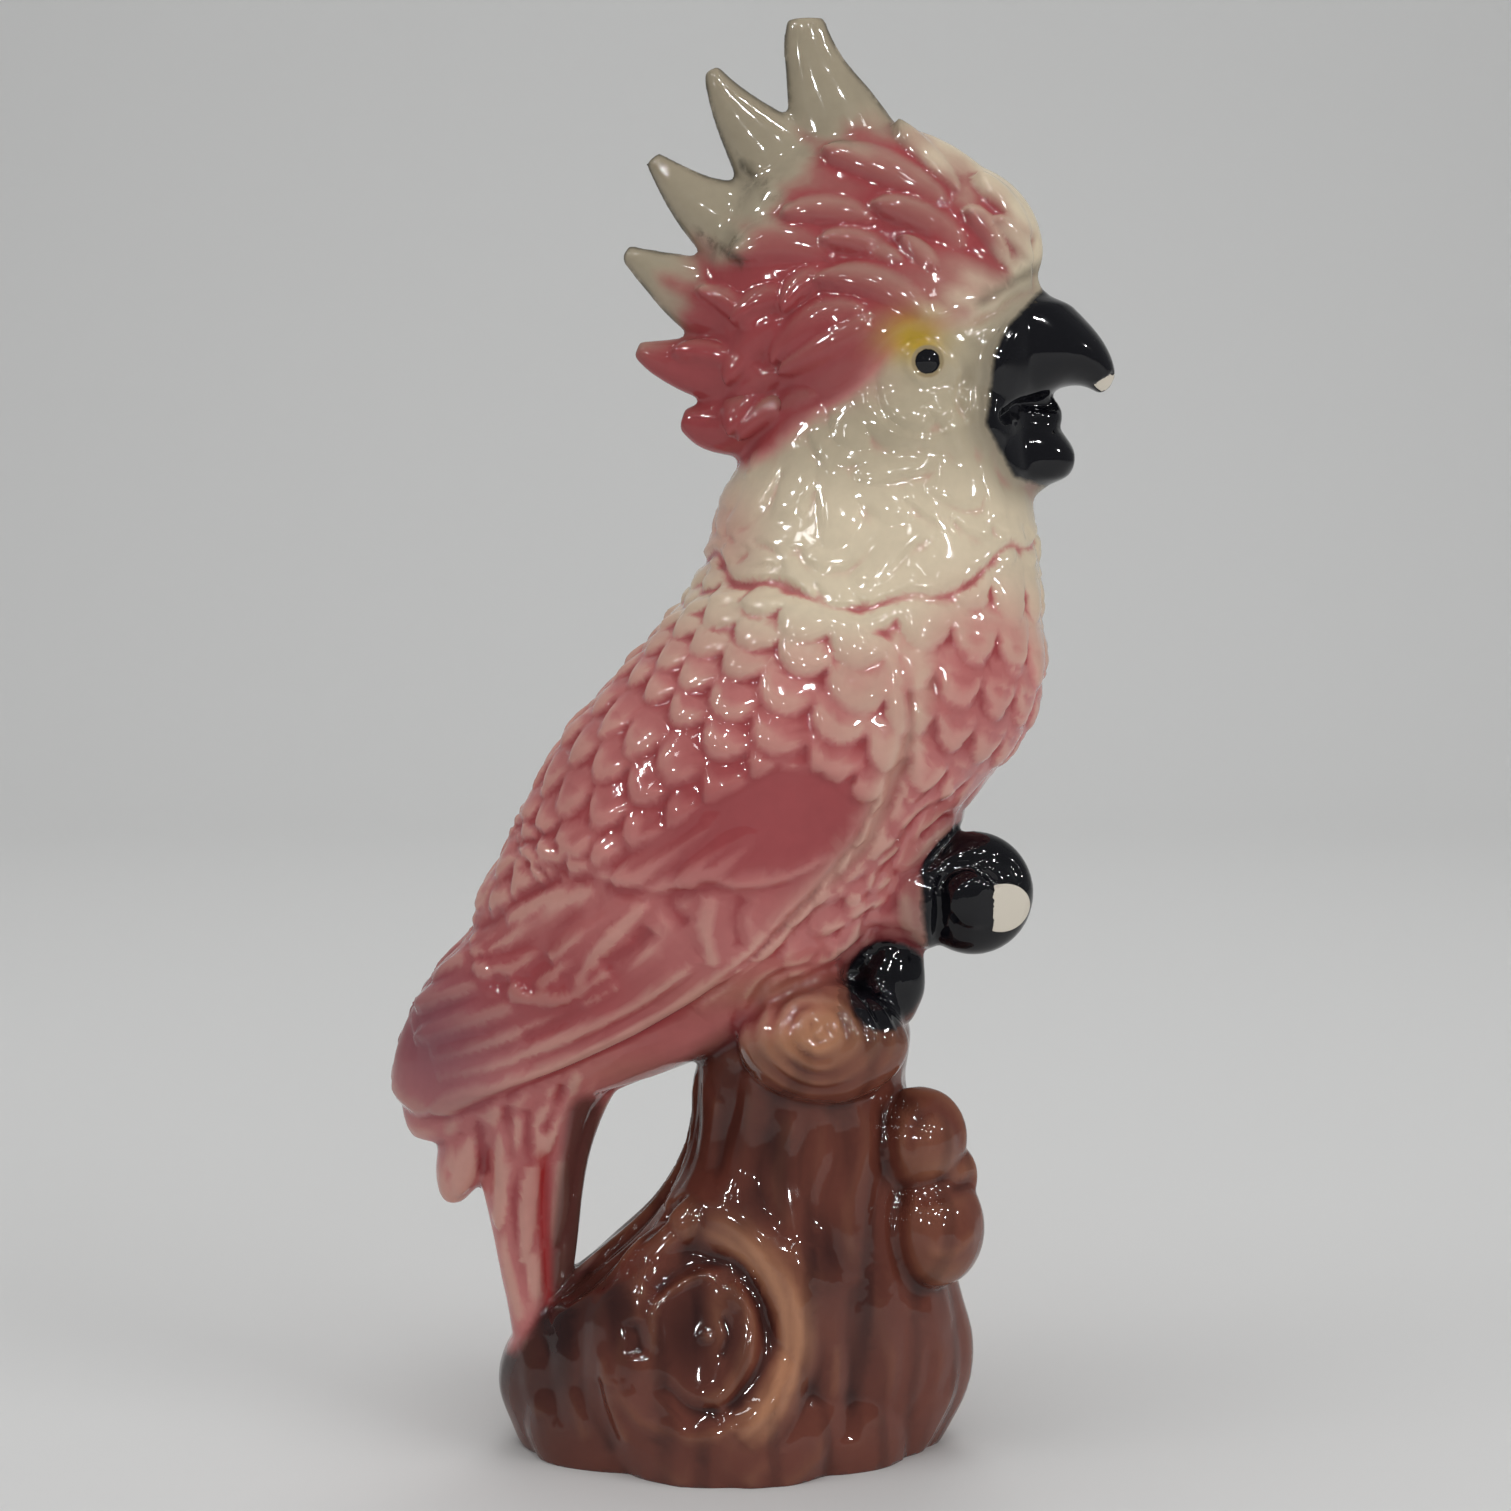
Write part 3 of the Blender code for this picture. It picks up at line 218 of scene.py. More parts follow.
FLIGHT_FEATHERS = [
    ((-49.5, 128), (-61, 122), (-74, 111), 3.5), ((-47.5, 121), (-61, 115.5), (-76, 105), 3.2),
    ((-43, 115.5), (-56.5, 110), (-76.5, 98.5), 3), ((-52, 95.5), (-65.5, 87.5), (-73.5, 81.5), 4),
    ((-30, 143), (-45.5, 133), (-61.5, 118.5), 4.5), ((-34, 150), (-47.5, 142), (-63, 128), 4.2),
    ((-20, 158), (-29, 152.5), (-39, 141.5), 4.6), ((-9, 153.5), (-19, 148), (-30, 138.5), 4.6),
    ((0, 150), (-8, 145.5), (-16, 138.5), 4.2), ((-23, 136), (-34, 128), (-50, 114), 4.5),
]
TAIL_FEATHERS = [
    ((-57.5, 86), (-65.5, 75.5), (-69, 61), 3.5), ((-51.5, 88), (-58.5, 75.5), (-59, 54), 3.2),
    ((-44.5, 89.5), (-51.5, 73), (-54, 46), 3.2), ((-36.5, 91), (-44.5, 76), (-47, 50), 3),
]

# Feather edges, the higher side on the left: points, height, and how far they reach
WING_LEDGES = [
    ((-43, 141), (-34.5, 139.5), (-27.5, 138), (-21, 137), (-14.5, 138.5), (-11.5, 140),
     (-6.5, 138.5), (-2, 138), (7.5, 140), (17.5, 145), 1.3, 9),
    ((-64, 123.5), (-62.5, 115.5), (-60, 114), (-55, 115), (-53.5, 110.5), (-47, 110),
     (-40, 111.5), (-32.5, 117), (-25.5, 125), 1.3, 8),
    ((-75, 110), (-70, 112.5), (-62, 115), 1.1, 6),
    ((-77, 103.5), (-68, 107.5), (-56.5, 111), 1.2, 6),
    ((-77.5, 97), (-65.5, 101.5), (-52.5, 106.5), (-40, 111), 1.2, 6),
    ((-73, 93.5), (-61, 98), (-45.5, 105), (-29, 115), 1.2, 6),
    ((-72.5, 89), (-57, 94.5), (-39, 102.5), (-23.5, 111.5), (-11, 121.5), 1.2, 6),
    ((-73, 84), (-57, 89), (-39, 95.5), (-23.5, 104), (-8, 114.5), (4.5, 126), 1.2, 6),
    ((34.5, 183), (34.5, 169.5), (31, 158.5), (24, 145), (18, 138), (10, 132), (2, 122.5),
     (-7, 114), (-14.5, 107.5), 1.8, 5),
]
FLANK_LEDGES = [
    ((17.5, 118.5), (23, 123), (24.5, 129), (30, 132), (32, 138), 1.1, 5),
    ((20, 132), (24.5, 135), (27.5, 140.5), (33, 144.5), 1.0, 5),
    ((25, 142.5), (27.5, 145), (32, 147.5), (35.5, 152.5), (41, 155), (45, 156.5), 1.0, 5),
    ((14.5, 125.5), (21, 127.5), (25, 133.5), 0.8, 5),
    ((7.5, 114), (16.5, 117.5), (21, 122), 0.8, 5),
    ((33, 155.5), (37.5, 158), (43, 163.5), 0.8, 5),
]

# Ridges and grooves: points, half width and height
WING_LINES = [
    ((-33.5, 119), (-28, 123), (-22.5, 128), 2, -1.4),
    ((-51, 112.5), (-48, 116.5), (-45, 120.5), 2, -1.4),
    ((-40, 115), (-32, 125), (-24, 134.5), 1.5, 0.9),
    ((-52.5, 101.5), (-43.5, 106), (-38, 110), 1.5, -1.0),
    ((-14.5, 128.5), (-18.5, 134), (-14.5, 138.5), 2, -0.9),
    ((-3.5, 123), (-4.5, 130.5), (-2.5, 136), 2, -0.8),
    ((-9.5, 119.5), (-11, 128.5), (-9.5, 136.5), 2, 0.7),
    ((-55.5, 127.5), (-45.5, 133), (-34.5, 136), 3, 0.9),
    ((-57.5, 135), (-50, 141), (-43, 144), 2, 0.7),
    ((-52, 133), (-46.5, 136.5), (-42, 138.5), 1.5, -0.9),
]
TAIL_LINES = [
    ((-56.5, 83.5), (-56.5, 76.5), (-56, 69.5), 1.5, -0.8),
    ((-52.5, 83), (-52.5, 75.5), (-51, 68.5), 1.5, -0.8),
    ((-43.5, 88.5), (-45.5, 82.5), (-48.5, 76.5), 1.5, -1.1),
    ((-39.5, 91.5), (-44.5, 82.5), (-48, 72), 1.5, 0.8),
    ((-48.5, 71), (-48.5, 54.5), (-48, 38), 1, -0.9),
    ((-45, 70.5), (-44.5, 54.5), (-46, 38), 1.5, 0.8),
    ((-59.5, 82.5), (-59, 73), (-58.5, 61.5), (-57, 45), (-54.5, 31), 1.5, 0.5),
    ((-63.5, 80), (-63.5, 73), (-62.5, 65), 1.5, -0.9),
    ((-68.5, 82.5), (-70, 75.5), (-69.5, 66), 2, 0.5),
    ((-53, 66), (-52.5, 52), (-51.5, 38), 1.5, 0.4),
    ((-56, 63.5), (-54.5, 49.5), (-52.5, 35.5), 1, -0.4),
]
BARK_LINES = [
    ((-4, 94.5), (-6.5, 81), (-10, 67), 3, -1.2),
    ((-8.5, 85.5), (-10, 76.5), (-11, 68.5), 1.5, 0.6),
    ((-1, 92.5), (-2.5, 79), (-5, 63), 3, 0.8),
    ((3.5, 81), (1, 65), (9, 53.5), 2.5, -0.8),
    ((7.5, 84), (4.5, 67.5), (9.5, 52.5), (18.5, 44), 3, 1.0),
    ((12.5, 83.5), (10, 69.5), (14, 57), 2, -0.6),
    ((22.5, 87), (25, 76.5), (21, 61), (22, 48.5), 2.5, 0.8),
    ((17, 85.5), (18.5, 74.5), (15.5, 61.5), (19.5, 44.5), 2.5, -0.8),
    ((29.5, 85.5), (29.5, 69.5), (27, 56), (29, 40), 2, -0.7),
    ((23, 45.5), (21.5, 33), (22, 19), (21, 7.5), 2.5, -1.2),
    ((28, 48), (28, 35), (31, 23.5), (30, 9.5), 3, 0.8),
    ((35, 36.5), (34, 25), (30.5, 9.5), 2, -0.5),
    ((40.5, 27), (39.5, 19), (34.5, 9.5), 1.5, -0.5),
    ((45.5, 32), (46.5, 22.5), (43, 14.5), 2, -0.5),
    ((18.5, 32), (17.5, 19), (13.5, 6), (4.5, -1), 2.5, 0.9),
    ((13.5, 39.5), (15, 27.5), (10, 16), (1, 7), 2.5, -0.9),
    ((-12.5, 59.5), (-23, 48), (-36.5, 37.5), (-47.5, 33.5), 4.5, 1.2),
    ((-15, 51), (-25, 42), (-32, 30.5), (-32.5, 22.5), 2.5, -0.8),
    ((-34.5, 29.5), (-33, 19), (-28.5, 8.5), 1.5, 0.8),
    ((-36.5, 23.5), (-35, 14.5), (-32.5, 4.5), 2.5, -0.8),
    ((-43, 28.5), (-42, 19), (-38.5, 7), 2, 0.7),
    ((-48.5, 30), (-47.5, 20), (-44.5, 9.5), 2, -0.8),
    ((-53, 29.5), (-52.5, 19), (-49.5, 10.5), 2, 0.7),
    ((-12.5, 8.5), (-9, 2.5), (-3.5, -1.5), 2.5, -0.7),
    ((-24, 9.5), (-20.5, 4), (-15, 0), 2.5, 0.5),
    ((3.5, 14.5), (2, 7.5), (-2.5, 0.5), 2.5, 0.6),
]
KNOT_LINES = [
    ((-18, 55), (-12.5, 59.5), (-3.5, 58.5), (4.5, 50.5), (9.5, 40.5), (9, 30), (4, 20.5),
     (-4, 11.5), 6, 3.0),
    ((-23.5, 42.5), (-20.5, 47.5), (-13, 51), (-4, 49), (1, 41.5), (3, 31), (-1, 23.5),
     (-7.5, 18.5), 2.5, -1.9),
    ((-32, 22), (-30.5, 32.5), (-23.5, 45), 2.5, 1.2),
    ((-32, 23), (-26, 15.5), (-14.5, 12), (-4.5, 14), 2.5, 1.1),
    ((-6.5, 45.5), (-1.5, 39), (-2.5, 30), (-6.5, 22.5), (-11.5, 19.5), 2, 1.9),
    ((-23, 31), (-22.5, 40.5), (-16.5, 46), (-9.5, 48), 1, 1.1),
    ((-22.5, 24.5), (-14.5, 18), (-8, 18.5), 2, -1.4),
    ((-28, 37), (-27, 33.5), (-27, 29.5), 2, -1.7),
    ((-11.5, 36), (-11, 33.5), 1.5, 1.2),
    ((-7, 39.5), (-5.5, 34.5), (-7.5, 29.5), 1, -0.9),
]
BURL_LINES = [
    ((35, 73.5), (36, 80.5), (41, 83.5), (46, 79.5), (47.5, 73.5), 1.5, -0.5),
    ((34, 64), (32.5, 60.5), (32.5, 52), (35, 43), (39.5, 38), 2, -0.8),
    ((36.5, 63), (43.5, 64.5), (50.5, 66), 1.5, -0.8),
    ((39, 52.5), (44.5, 51.5), (50, 55.5), 1.5, 0.5),
    ((31.5, 82.5), (31, 75.5), (32.5, 67.5), 1.5, -0.5),
]
CLAW_LINES = [
    ((42, 125), (41.5, 134), (43.5, 138), (48.5, 139.5), (53, 137), (54.5, 133.5), 1, -1.4),
    ((41.5, 139.5), (49.5, 141), (57.5, 139.5), (60, 135.5), 1, -0.8),
    ((37.5, 146), (41, 148), (45, 150.5), 1, -1.2),
]
FACE_LINES = [
    ((63.5, 270), (56.5, 265.5), (49, 260.5), 1, -1.6),
    ((63, 281), (63.5, 275), (64, 268.5), 1, -1.2),
    ((48, 251), (45.5, 245), (47.5, 239), 1, -1.0),
    ((55.5, 266), (51, 260.5), (47.5, 257), 1, 0.9),
]

# Outlines of carved areas
WING = [
    (7.5, 203.5), (20.5, 200.5), (30.5, 192), (34.5, 181), (34, 170), (30, 159), (23.5, 145.5),
    (14, 133.5), (2, 120.5), (-12.5, 109), (-25.5, 100.5), (-43.5, 91), (-56.5, 85), (-70, 79.5),
    (-79, 78), (-90, 84), (-90, 112), (-74, 130), (-68, 143), (-60, 158), (-48, 173), (-34, 186),
    (-22, 196), (-10, 203),
]
COVERTS = [
    (7.5, 204), (20.5, 201), (30.5, 192), (34.5, 181), (34, 168), (30, 157), (22, 157), (14, 163),
    (5, 164.5), (-8, 157), (-22, 148), (-34, 141), (-47.5, 135.5), (-63, 123.5), (-82, 128), (-60, 160),
    (-34, 190), (-14, 206),
]
CREST_EDGE = [(40, 330), (70, 282), (62, 268), (47, 263), (33, 259.5), (21, 248.5), (13, 242),
              (4.5, 236), (-3, 230.5), (-40, 232), (-60, 260), (-40, 330)]
NECK_FOLD = [(-16, 212), (-4.5, 206.5), (10, 202), (25.5, 200), (38.5, 202), (51.5, 208.5), (66, 215)]
FLANK_LINE = [(-100, 105), (-60, 120), (-10, 140), (30, 156), (50, 158), (90, 172)]
BEAK_GROOVE = [(66, 271), (57.5, 262), (52.5, 254), (51.5, 246), (51.5, 237), (55, 230), (58, 224),
               (62, 219)]
GAPE = [(72, 243.5), (64.5, 243), (60, 242.5), (56, 240.5)]
EYE = (38, 252.5)
EYE_DISC = (36.5, 247.5)
PERCH = (14, 104)
KNOT_BOWL = (-14, 34.5)
KNOT_BOWL_SIZE = (8.2, 13)
BALL = (49.5, 131.5)
BEAK = (68, 246)
# Chips: a point on the flat break, the way it faces, and its reach
BEAK_CHIP = ((79.6, -1.4, 246.4), (0.5, -0.8, -0.35), 4)
CLAW_CHIP = ((57.7, -18.7, 129.6), (0.45, -0.87, -0.12), 9)
# The claw's bare chip as seen from the near side: centre, half sizes, left edge, how ragged it is
CHIP_CENTRE, CHIP_SIZE, CHIP_LEFT, CHIP_RAGGED = (55.9, 129.9), (6.4, 5.6), 53.7, 0.6
CHIP_FRONT = (-12, -14)

# Where each spray, and the head's painted shade, begins and where it is full: by height or, where the
# name says front, by x
HEAD_SHADE_FADE = (214, 240)
FACE_FOOT = (236, 246)
# The forehead, which the head's painted shade leaves out: by height and by x
BROW_HEIGHT, BROW_FRONT = (257, 267), (30, 42)
BLUSH, BLUSH_SLOPE = (204, 176), 0.12
CREST_LOW = (266, 256)
TIPS_FRONT, TIPS_LOW = (36, 30), (250, 264)
TAIL_PAINT = (98, 88)
# Where the burls meet the trunk, where the hollows' painted shade is lighter
BURL_EDGE = 33
# Amounts of pink: overall, in hollows as gathered airbrush and painted shade, and taken off raised parts
# as painted highlight, each for the body and the crest
BODY_TINT, BODY_PINK, CREST_AMOUNT = 0.05, 0.70, 0.80
POOLED_AND_SHADE, POOLED_AND_SHADE_CREST = 0.72, 0.25
PROUD, PROUD_CREST = 0.26, 0.06
# Painted shade and light on the crest: more pink in its broad hollows and on faces turned down, less on
# faces turned up
CREST_SHADE, CREST_LIGHT = 0.35, 0.36
# Black glaze: middles, how far it reaches, and where it starts
CLAW_MIDDLE, CLAW_BLACK, LEG_BLACK = (50.5, -12, 132), 17, 37
FOOT_MIDDLE, FOOT_BLACK, FOOT_FRONT = (30, 112.5), 9.5, 18
BEAK_FLOOR = 215
# Farther off than any of these reach
FAR = 30

# Outlines of the crest's pink, the stump and the black beak
CREST_PINK = [(30.5, 306), (21, 304), (13, 301), (8, 294), (3, 286), (-3, 281), (-6, 277),
              (-14, 277), (-20, 270), (-16, 261), (-19, 259), (-26.5, 260), (-27, 249),
              (-16, 246), (-23, 239.5), (-9, 228), (7.5, 238.5), (21, 247.5), (30, 256), (35.5, 261),
              (42.5, 265.5), (48, 267), (54, 271), (57, 281), (54, 287), (44.5, 294.5)]
STUMP_TOP = [(-100, 12), (-56, 24), (-50, 33), (-38, 46), (-22, 86), (-12, 97), (6, 106), (18, 113),
             (44, 120), (70, 122)]
BEAK_BLACK = [(66, 270), (61.5, 266), (56, 260.5), (53, 255), (52, 247), (51, 238.5), (55, 231.5),
              (58, 226.5), (66.5, 224), (77.5, 221.5)]
# Sprayed spots: centre, half sizes, amount
PINK_SPRAY = [((-8, 214), (10, 12), 0.35), ((-10, 150), (30, 18), 0.25), ((51, 190), (16, 13), 0.5),
              ((27, 176), (8, 8), -0.30), ((36, 140), (12, 14), -0.12)]
FACE_BLUSH = [((20, 250), (10, 8), 0.35), ((34, 264), (14, 4), 0.3), ((0, 236), (8, 6), 0.4)]
DEEP_SPRAY = [((8, 154), (22, 12), 0.45), ((-45, 112), (28, 14), 0.40), ((5, 262), (18, 12), 0.35),
              ((-12, 240), (13, 11), 0.50), ((-16, 257), (10, 7), 0.35), ((-50, 60), (5, 18), 0.3)]
TAN_SPRAY = [((8, 106), (17, 9), 0.95), ((14, 104), (6, 5), 0.4), ((43, 69), (6, 4), 0.35),
             ((43, 46), (6, 4.5), 0.25), ((-9, 38), (2.5, 7), 0.4)]
MAUVE_SPRAY = [((-74, 98), (17, 20), 0.95)]
# Dark spots on the stump; the one in the knot's bowl is painted shade in that recess
DARK_SPRAY_AND_SHADE = [((-52, 22), (16, 20), 0.75), ((-38, 40), (14, 9), 0.6), ((-15, 34), (8, 12), 0.75),
              ((16, 51), (5, 10), 0.65), ((-15, 78), (5, 12), 0.5), ((2, 76), (9, 12), 0.45),
              ((26, 40), (5, 22), 0.45), ((-2, 62), (8, 5), 0.4)]
HAZE_SPRAY = [((6, 112), (20, 5), 0.55), ((-30, 92), (12, 4), 0.25)]
CHIN_SPRAY = [((67, 226), (7, 6), 0.45)]
YELLOW_SPRAY = [((35, 257.5), (6.5, 5), 1.1)]
# Painted lines
KNOT_LIP = [(-15, 57), (-6, 55), (1, 50.5), (6.5, 43), (8.8, 34), (6, 23), (-2, 12)]
RED_STREAK = [(-49, 71), (-48.5, 53), (-48, 36)]
OLIVE_STRIP = [(-39, 81), (-41, 69), (-43, 55), (-45, 39), (-47, 27)]
# A cream streak along the wing's front ridge: a painted highlight
WING_RIDGE_HIGHLIGHT = [(35.6, 193), (36.3, 180), (33.5, 170.5), (28, 159.5), (25, 148.5), (14, 137), (-1, 121)]
DIRT_LINES = [[(-3.5, 297), (5, 289)], [(-12.5, 281), (-3, 274.5)]]
# A dark streak along the groove above the face: painted shade
BROW_SHADE = [(67, 275), (59, 271), (50, 265.5)]
# The eye's painted rings, by distance from its middle
LID_OUTSIDE, LID_INSIDE, PUPIL = (3.9, 3.3), (2.6, 2.9), (2.95, 2.65)

# Paints, as linear colours
CREAM = (0.73, 0.62, 0.45)
# A darker cream painted over the head as shade
HEAD_SHADE_CREAM = (0.50, 0.425, 0.30)
CREST_CREAM = (0.37, 0.315, 0.225)
PINK = (0.58, 0.21, 0.195)
ROSE = (0.37, 0.135, 0.12)
DEEP_PINK = (0.36, 0.065, 0.07)
MAUVE = (0.27, 0.085, 0.105)
RED = (0.36, 0.02, 0.02)
OLIVE = (0.085, 0.030, 0.024)
BROWN = (0.155, 0.045, 0.030)
DARK_BROWN = (0.030, 0.009, 0.008)
TAN = (0.45, 0.21, 0.115)
HAZE = (0.36, 0.18, 0.11)
YELLOW = (0.50, 0.32, 0.03)
BLACK = (0.004, 0.004, 0.006)
EYELID = (0.35, 0.27, 0.15)
BISCUIT = (0.70, 0.64, 0.54)
# Dark grey-brown: dirt on the crest tips, overspray under the beak and glaze pits, and also the painted
# shade along the brow's groove
GRIME_AND_SHADE = (0.05, 0.04, 0.025)

# Glaze: noise scales per metre, heights in metres, roughness
CLOUDS, GRAIN, SPECKS, SWELL, DIRT, RAGGED = 55, 420, 1400, 130, 160, 700
PITS, PIT_AREAS = 95, 38
SWELL_HEIGHT, SPECK_HEIGHT, PIT_DEPTH, BUMP = 0.0004, 0.00001, 0.0002, 0.35
GLOSS, GRAIN_ROUGHNESS, CHIP_ROUGHNESS, SPECULAR = 0.035, 0.05, 0.7, 0.38

# Stage
CLOTH, CLOTH_ROUGHNESS = (0.72, 0.72, 0.71), 0.9
FLOOR_NEAR, FLOOR_FAR, FLOOR_HALF = 1.2, 1.6, 3.0
CURVE, WALL_TOP = 0.5, 3.0
SKY, SKY_STRENGTH = (0.95, 0.97, 1.0), 0.22
AIM = (0, 0, 0.17)
# Soft panels: name, place, watts, size
PANELS = [
    ("top", (-0.2, -0.3, 1.9), 13.5, 1.8),
    ("left", (-1.6, -0.9, 0.9), 4.5, 1.0),
    ("right", (1.3, -0.9, 0.8), 8.0, 0.9),
    ("low", (0.3, -1.5, 0.3), 3.5, 1.0),
    ("behind", (0.1, 1.0, 1.3), 4.2, 0.8),
]
# Small bright lamps, seen only as glints in the glaze: their watts, size and places
GLINT_POWER, GLINT_SIZE = 2.2, 0.036
GLINTS = [
    (-0.35, -1.0, 1.1), (0.35, -1.1, 0.9), (-0.9, -0.4, 0.8), (0.9, -0.7, 1.0), (-0.7, -0.9, 0.5),
    (0.6, -1.0, 0.4), (0.15, -1.2, 1.05), (1.1, -0.3, 0.6), (0.5, -0.8, 1.35), (-0.1, -0.8, 1.5),
    (-1.0, -0.5, 1.05), (-1.0, -0.5, 1.3), (-0.3, -1.3, 0.55), (0.75, -1.0, 0.75),
]
# Larger lamps whose soft reflections show in the glaze: place, watts, size
WINDOWS = [((-0.75, -0.8, 1.0), 0.5, 0.10), ((0.5, -1.0, 1.2), 0.35, 0.08)]

# Camera, at the photo's angle
CAMERA_PLACE = (0.001393, -0.8, 0.25)
CAMERA_PITCH = 6.251
CAMERA_LENS = 83.27


def smooth_rows(rows, steps=SPAN_STEPS):
    """Rows of numbers with a Catmull-Rom curve run through them."""
    rows = np.asarray(rows, float)
    padded = np.vstack([2 * rows[0] - rows[1], rows, 2 * rows[-1] - rows[-2]])
    found = []
    for p0, p1, p2, p3 in zip(padded, padded[1:], padded[2:], padded[3:]):
        for t in np.arange(steps) / steps:
            found.append(p1 + 0.5 * t * (p2 - p0 + t * (2 * p0 - 5 * p1 + 4 * p2 - p3
                                                        + t * (3 * (p1 - p2) + p3 - p0))))
    return np.array(found + [rows[-1]])


def ring_mesh(rings):
    """A closed mesh through rings of points, with a fan at each end."""
    bm = bmesh.new()
    loops = [[bm.verts.new(Vector(p) * MM) for p in ring] for ring in rings]
    for low, high in zip(loops, loops[1:]):
        for i in range(len(low)):
            j = (i + 1) % len(low)
            bm.faces.new((low[i], low[j], high[j], high[i]))
    for loop in (loops[0], loops[-1]):
        middle = bm.verts.new(sum((v.co for v in loop), Vector()) / len(loop))
        for i in range(len(loop)):
            bm.faces.new((loop[i], loop[(i + 1) % len(loop)], middle))
    bmesh.ops.recalc_face_normals(bm, faces=bm.faces)
    return finished_mesh(bm)


def finished_mesh(bm):
    mesh = bpy.data.meshes.new(NAME)
    bm.to_mesh(mesh)
    bm.free()
    return mesh


def section_loft(sections):
    """Oval rings across the XZ plane, each from its front point to its back point."""
    rings = []
    for fx, fz, bx, bz, half in smooth_rows(sections):
        swing = np.cos(TURN) / 2
        rings.append(np.stack([
            (fx + bx) / 2 + (fx - bx) * swing,
            half * np.sin(TURN),
            (fz + bz) / 2 + (fz - bz) * swing,
        ], axis=1))
    return ring_mesh(rings)


def spike(spine):
    """A flat tapered loft along its spine."""
    rows = np.asarray(spine, float)
    along = directions(rows[:, :2])
    across = np.stack([along[:, 1], -along[:, 0]], axis=1) * rows[:, 2:3]
    return section_loft(np.c_[rows[:, :2] + across, rows[:, :2] - across, rows[:, 3]])


def limb(path):
    """A round bar of changing radius through the points of its path."""
    rows = smooth_rows(path)
    along = np.gradient(rows[:, :3], axis=0)
    rings = []
    for row, direction in zip(rows, along):
        side = Vector((0, 1, 0)).cross(Vector(direction)).normalized()
        up = Vector(direction).normalized().cross(side)
        centre, radius = Vector(row[:3]), float(row[3])
        rings.append([centre + radius * (math.cos(a) * side + math.sin(a) * up) for a in TURN])
    return ring_mesh(rings)


def mass(centre, half_sizes, lean=0):
    """A ball stretched to its half sizes and leaned about Y."""
    bm = bmesh.new()
    place = (Matrix.Translation(Vector(centre) * MM) @ Matrix.Rotation(math.radians(lean), 4, "Y")
             @ Matrix.Diagonal((*(Vector(half_sizes) * MM), 1)))
    bmesh.ops.create_uvsphere(bm, u_segments=RING_POINTS, v_segments=BALL_ROWS, radius=1, matrix=place)
    return finished_mesh(bm)


def fused_forms():
    """All forms run together as clay is, by a voxel remesh and a light smoothing."""
    forms = [section_loft(s) for s in (TORSO, UPPER_BEAK, LOWER_BEAK, TAIL, STUMP)]
    forms += [spike(s) for s in SPIKES]
    forms += [limb(s) for s in (RAISED_LEG, BARK_ROOT)]
    forms += [mass(*m) for m in MASSES]
    bm = bmesh.new()
    for form in forms:
        bm.from_mesh(form)
        bpy.data.meshes.remove(form)
    clay = placed(NAME, finished_mesh(bm))
    modify(clay, "REMESH", mode="VOXEL", voxel_size=VOXEL * MM)
    modify(clay, "SMOOTH", factor=0.5, iterations=SOFTENING)
    return applied(clay)


def placed(name, data):
    """A new object in the scene."""
    obj = bpy.data.objects.new(name, data)
    bpy.context.scene.collection.objects.link(obj)
    return obj


def modify(obj, kind, **settings):
    """Gives the object a modifier with these settings."""
    modifier = obj.modifiers.new(kind, kind)
    for name, value in settings.items():
        setattr(modifier, name, value)


def applied(obj):
    """The object with its modifiers worked into its mesh."""
    bpy.context.view_layer.update()
    graph = bpy.context.evaluated_depsgraph_get()
    mesh = bpy.data.meshes.new_from_object(obj.evaluated_get(graph))
    obj.modifiers.clear()
    obj.data = mesh
    return obj


def vertex_array(mesh, field):
    values = np.empty(len(mesh.vertices) * 3, np.float32)
    mesh.vertices.foreach_get(field, values)
    return values.reshape(-1, 3).astype(float)


def step(low, high, values):
    """0 below low, 1 above high, and smooth between."""
    t = np.clip((values - low) / (high - low), 0, 1)
    return t * t * (3 - 2 * t)


def away(points, place):
    """Distance of each point from a place."""
    return np.linalg.norm(points - place, axis=1)


def hump(distance, width):
    """1 at no distance, sinking smoothly to 0 within a few widths."""
    return np.exp(-(distance / width) ** 2)


def polyline_reach(points, line, closed=False):
    """Distance to a line of points, positive on its left or inside a closed outline."""
    line = np.asarray(line, float)
    ends = np.roll(line, -1, axis=0) if closed else line[1:]
    best = np.full(len(points), 1e9)
    side = np.ones(len(points))
    inside = np.zeros(len(points), bool)
    for a, b in zip(line, ends):
        run, gap = b - a, points - a
        t = np.clip(gap @ run / (run @ run), 0, 1)
        distance = np.linalg.norm(gap - t[:, None] * run, axis=1)
        nearer = distance < best - 1e-9
        best[nearer] = distance[nearer]
        side[nearer] = np.sign(run[0] * gap[nearer, 1] - run[1] * gap[nearer, 0])
        crosses = (a[1] > points[:, 1]) != (b[1] > points[:, 1])
        inside ^= crosses & (points[:, 0] < a[0] + gap[:, 1] * run[0] / (run[1] or 1e-9))
    return best * (np.where(inside, 1, -1) if closed else side)


def directions(line):
    """The way a line of points runs, at each of them."""
    run = np.gradient(line, axis=0)
    return run / np.linalg.norm(run, axis=1)[:, None]


def near_line(points, line, margin):
    """Points within a margin of a line: distance, how far along it they lie, and whether on its left."""
    within = (points > line.min(0) - margin) & (points < line.max(0) + margin)
    near = np.flatnonzero(np.all(within, axis=1))
    gaps = points[near, None] - line[None]
    distance = np.linalg.norm(gaps, axis=2)
    nearest = distance.argmin(1)
    run, gap = np.gradient(line, axis=0)[nearest], gaps[np.arange(len(near)), nearest]
    left = run[:, 0] * gap[:, 1] - run[:, 1] * gap[:, 0] > 0
    return near, distance.min(1), nearest / (len(line) - 1), left


def bulge(along, power):
    """0 at both ends of a line and 1 in its middle."""
    return (4 * along * (1 - along)) ** power


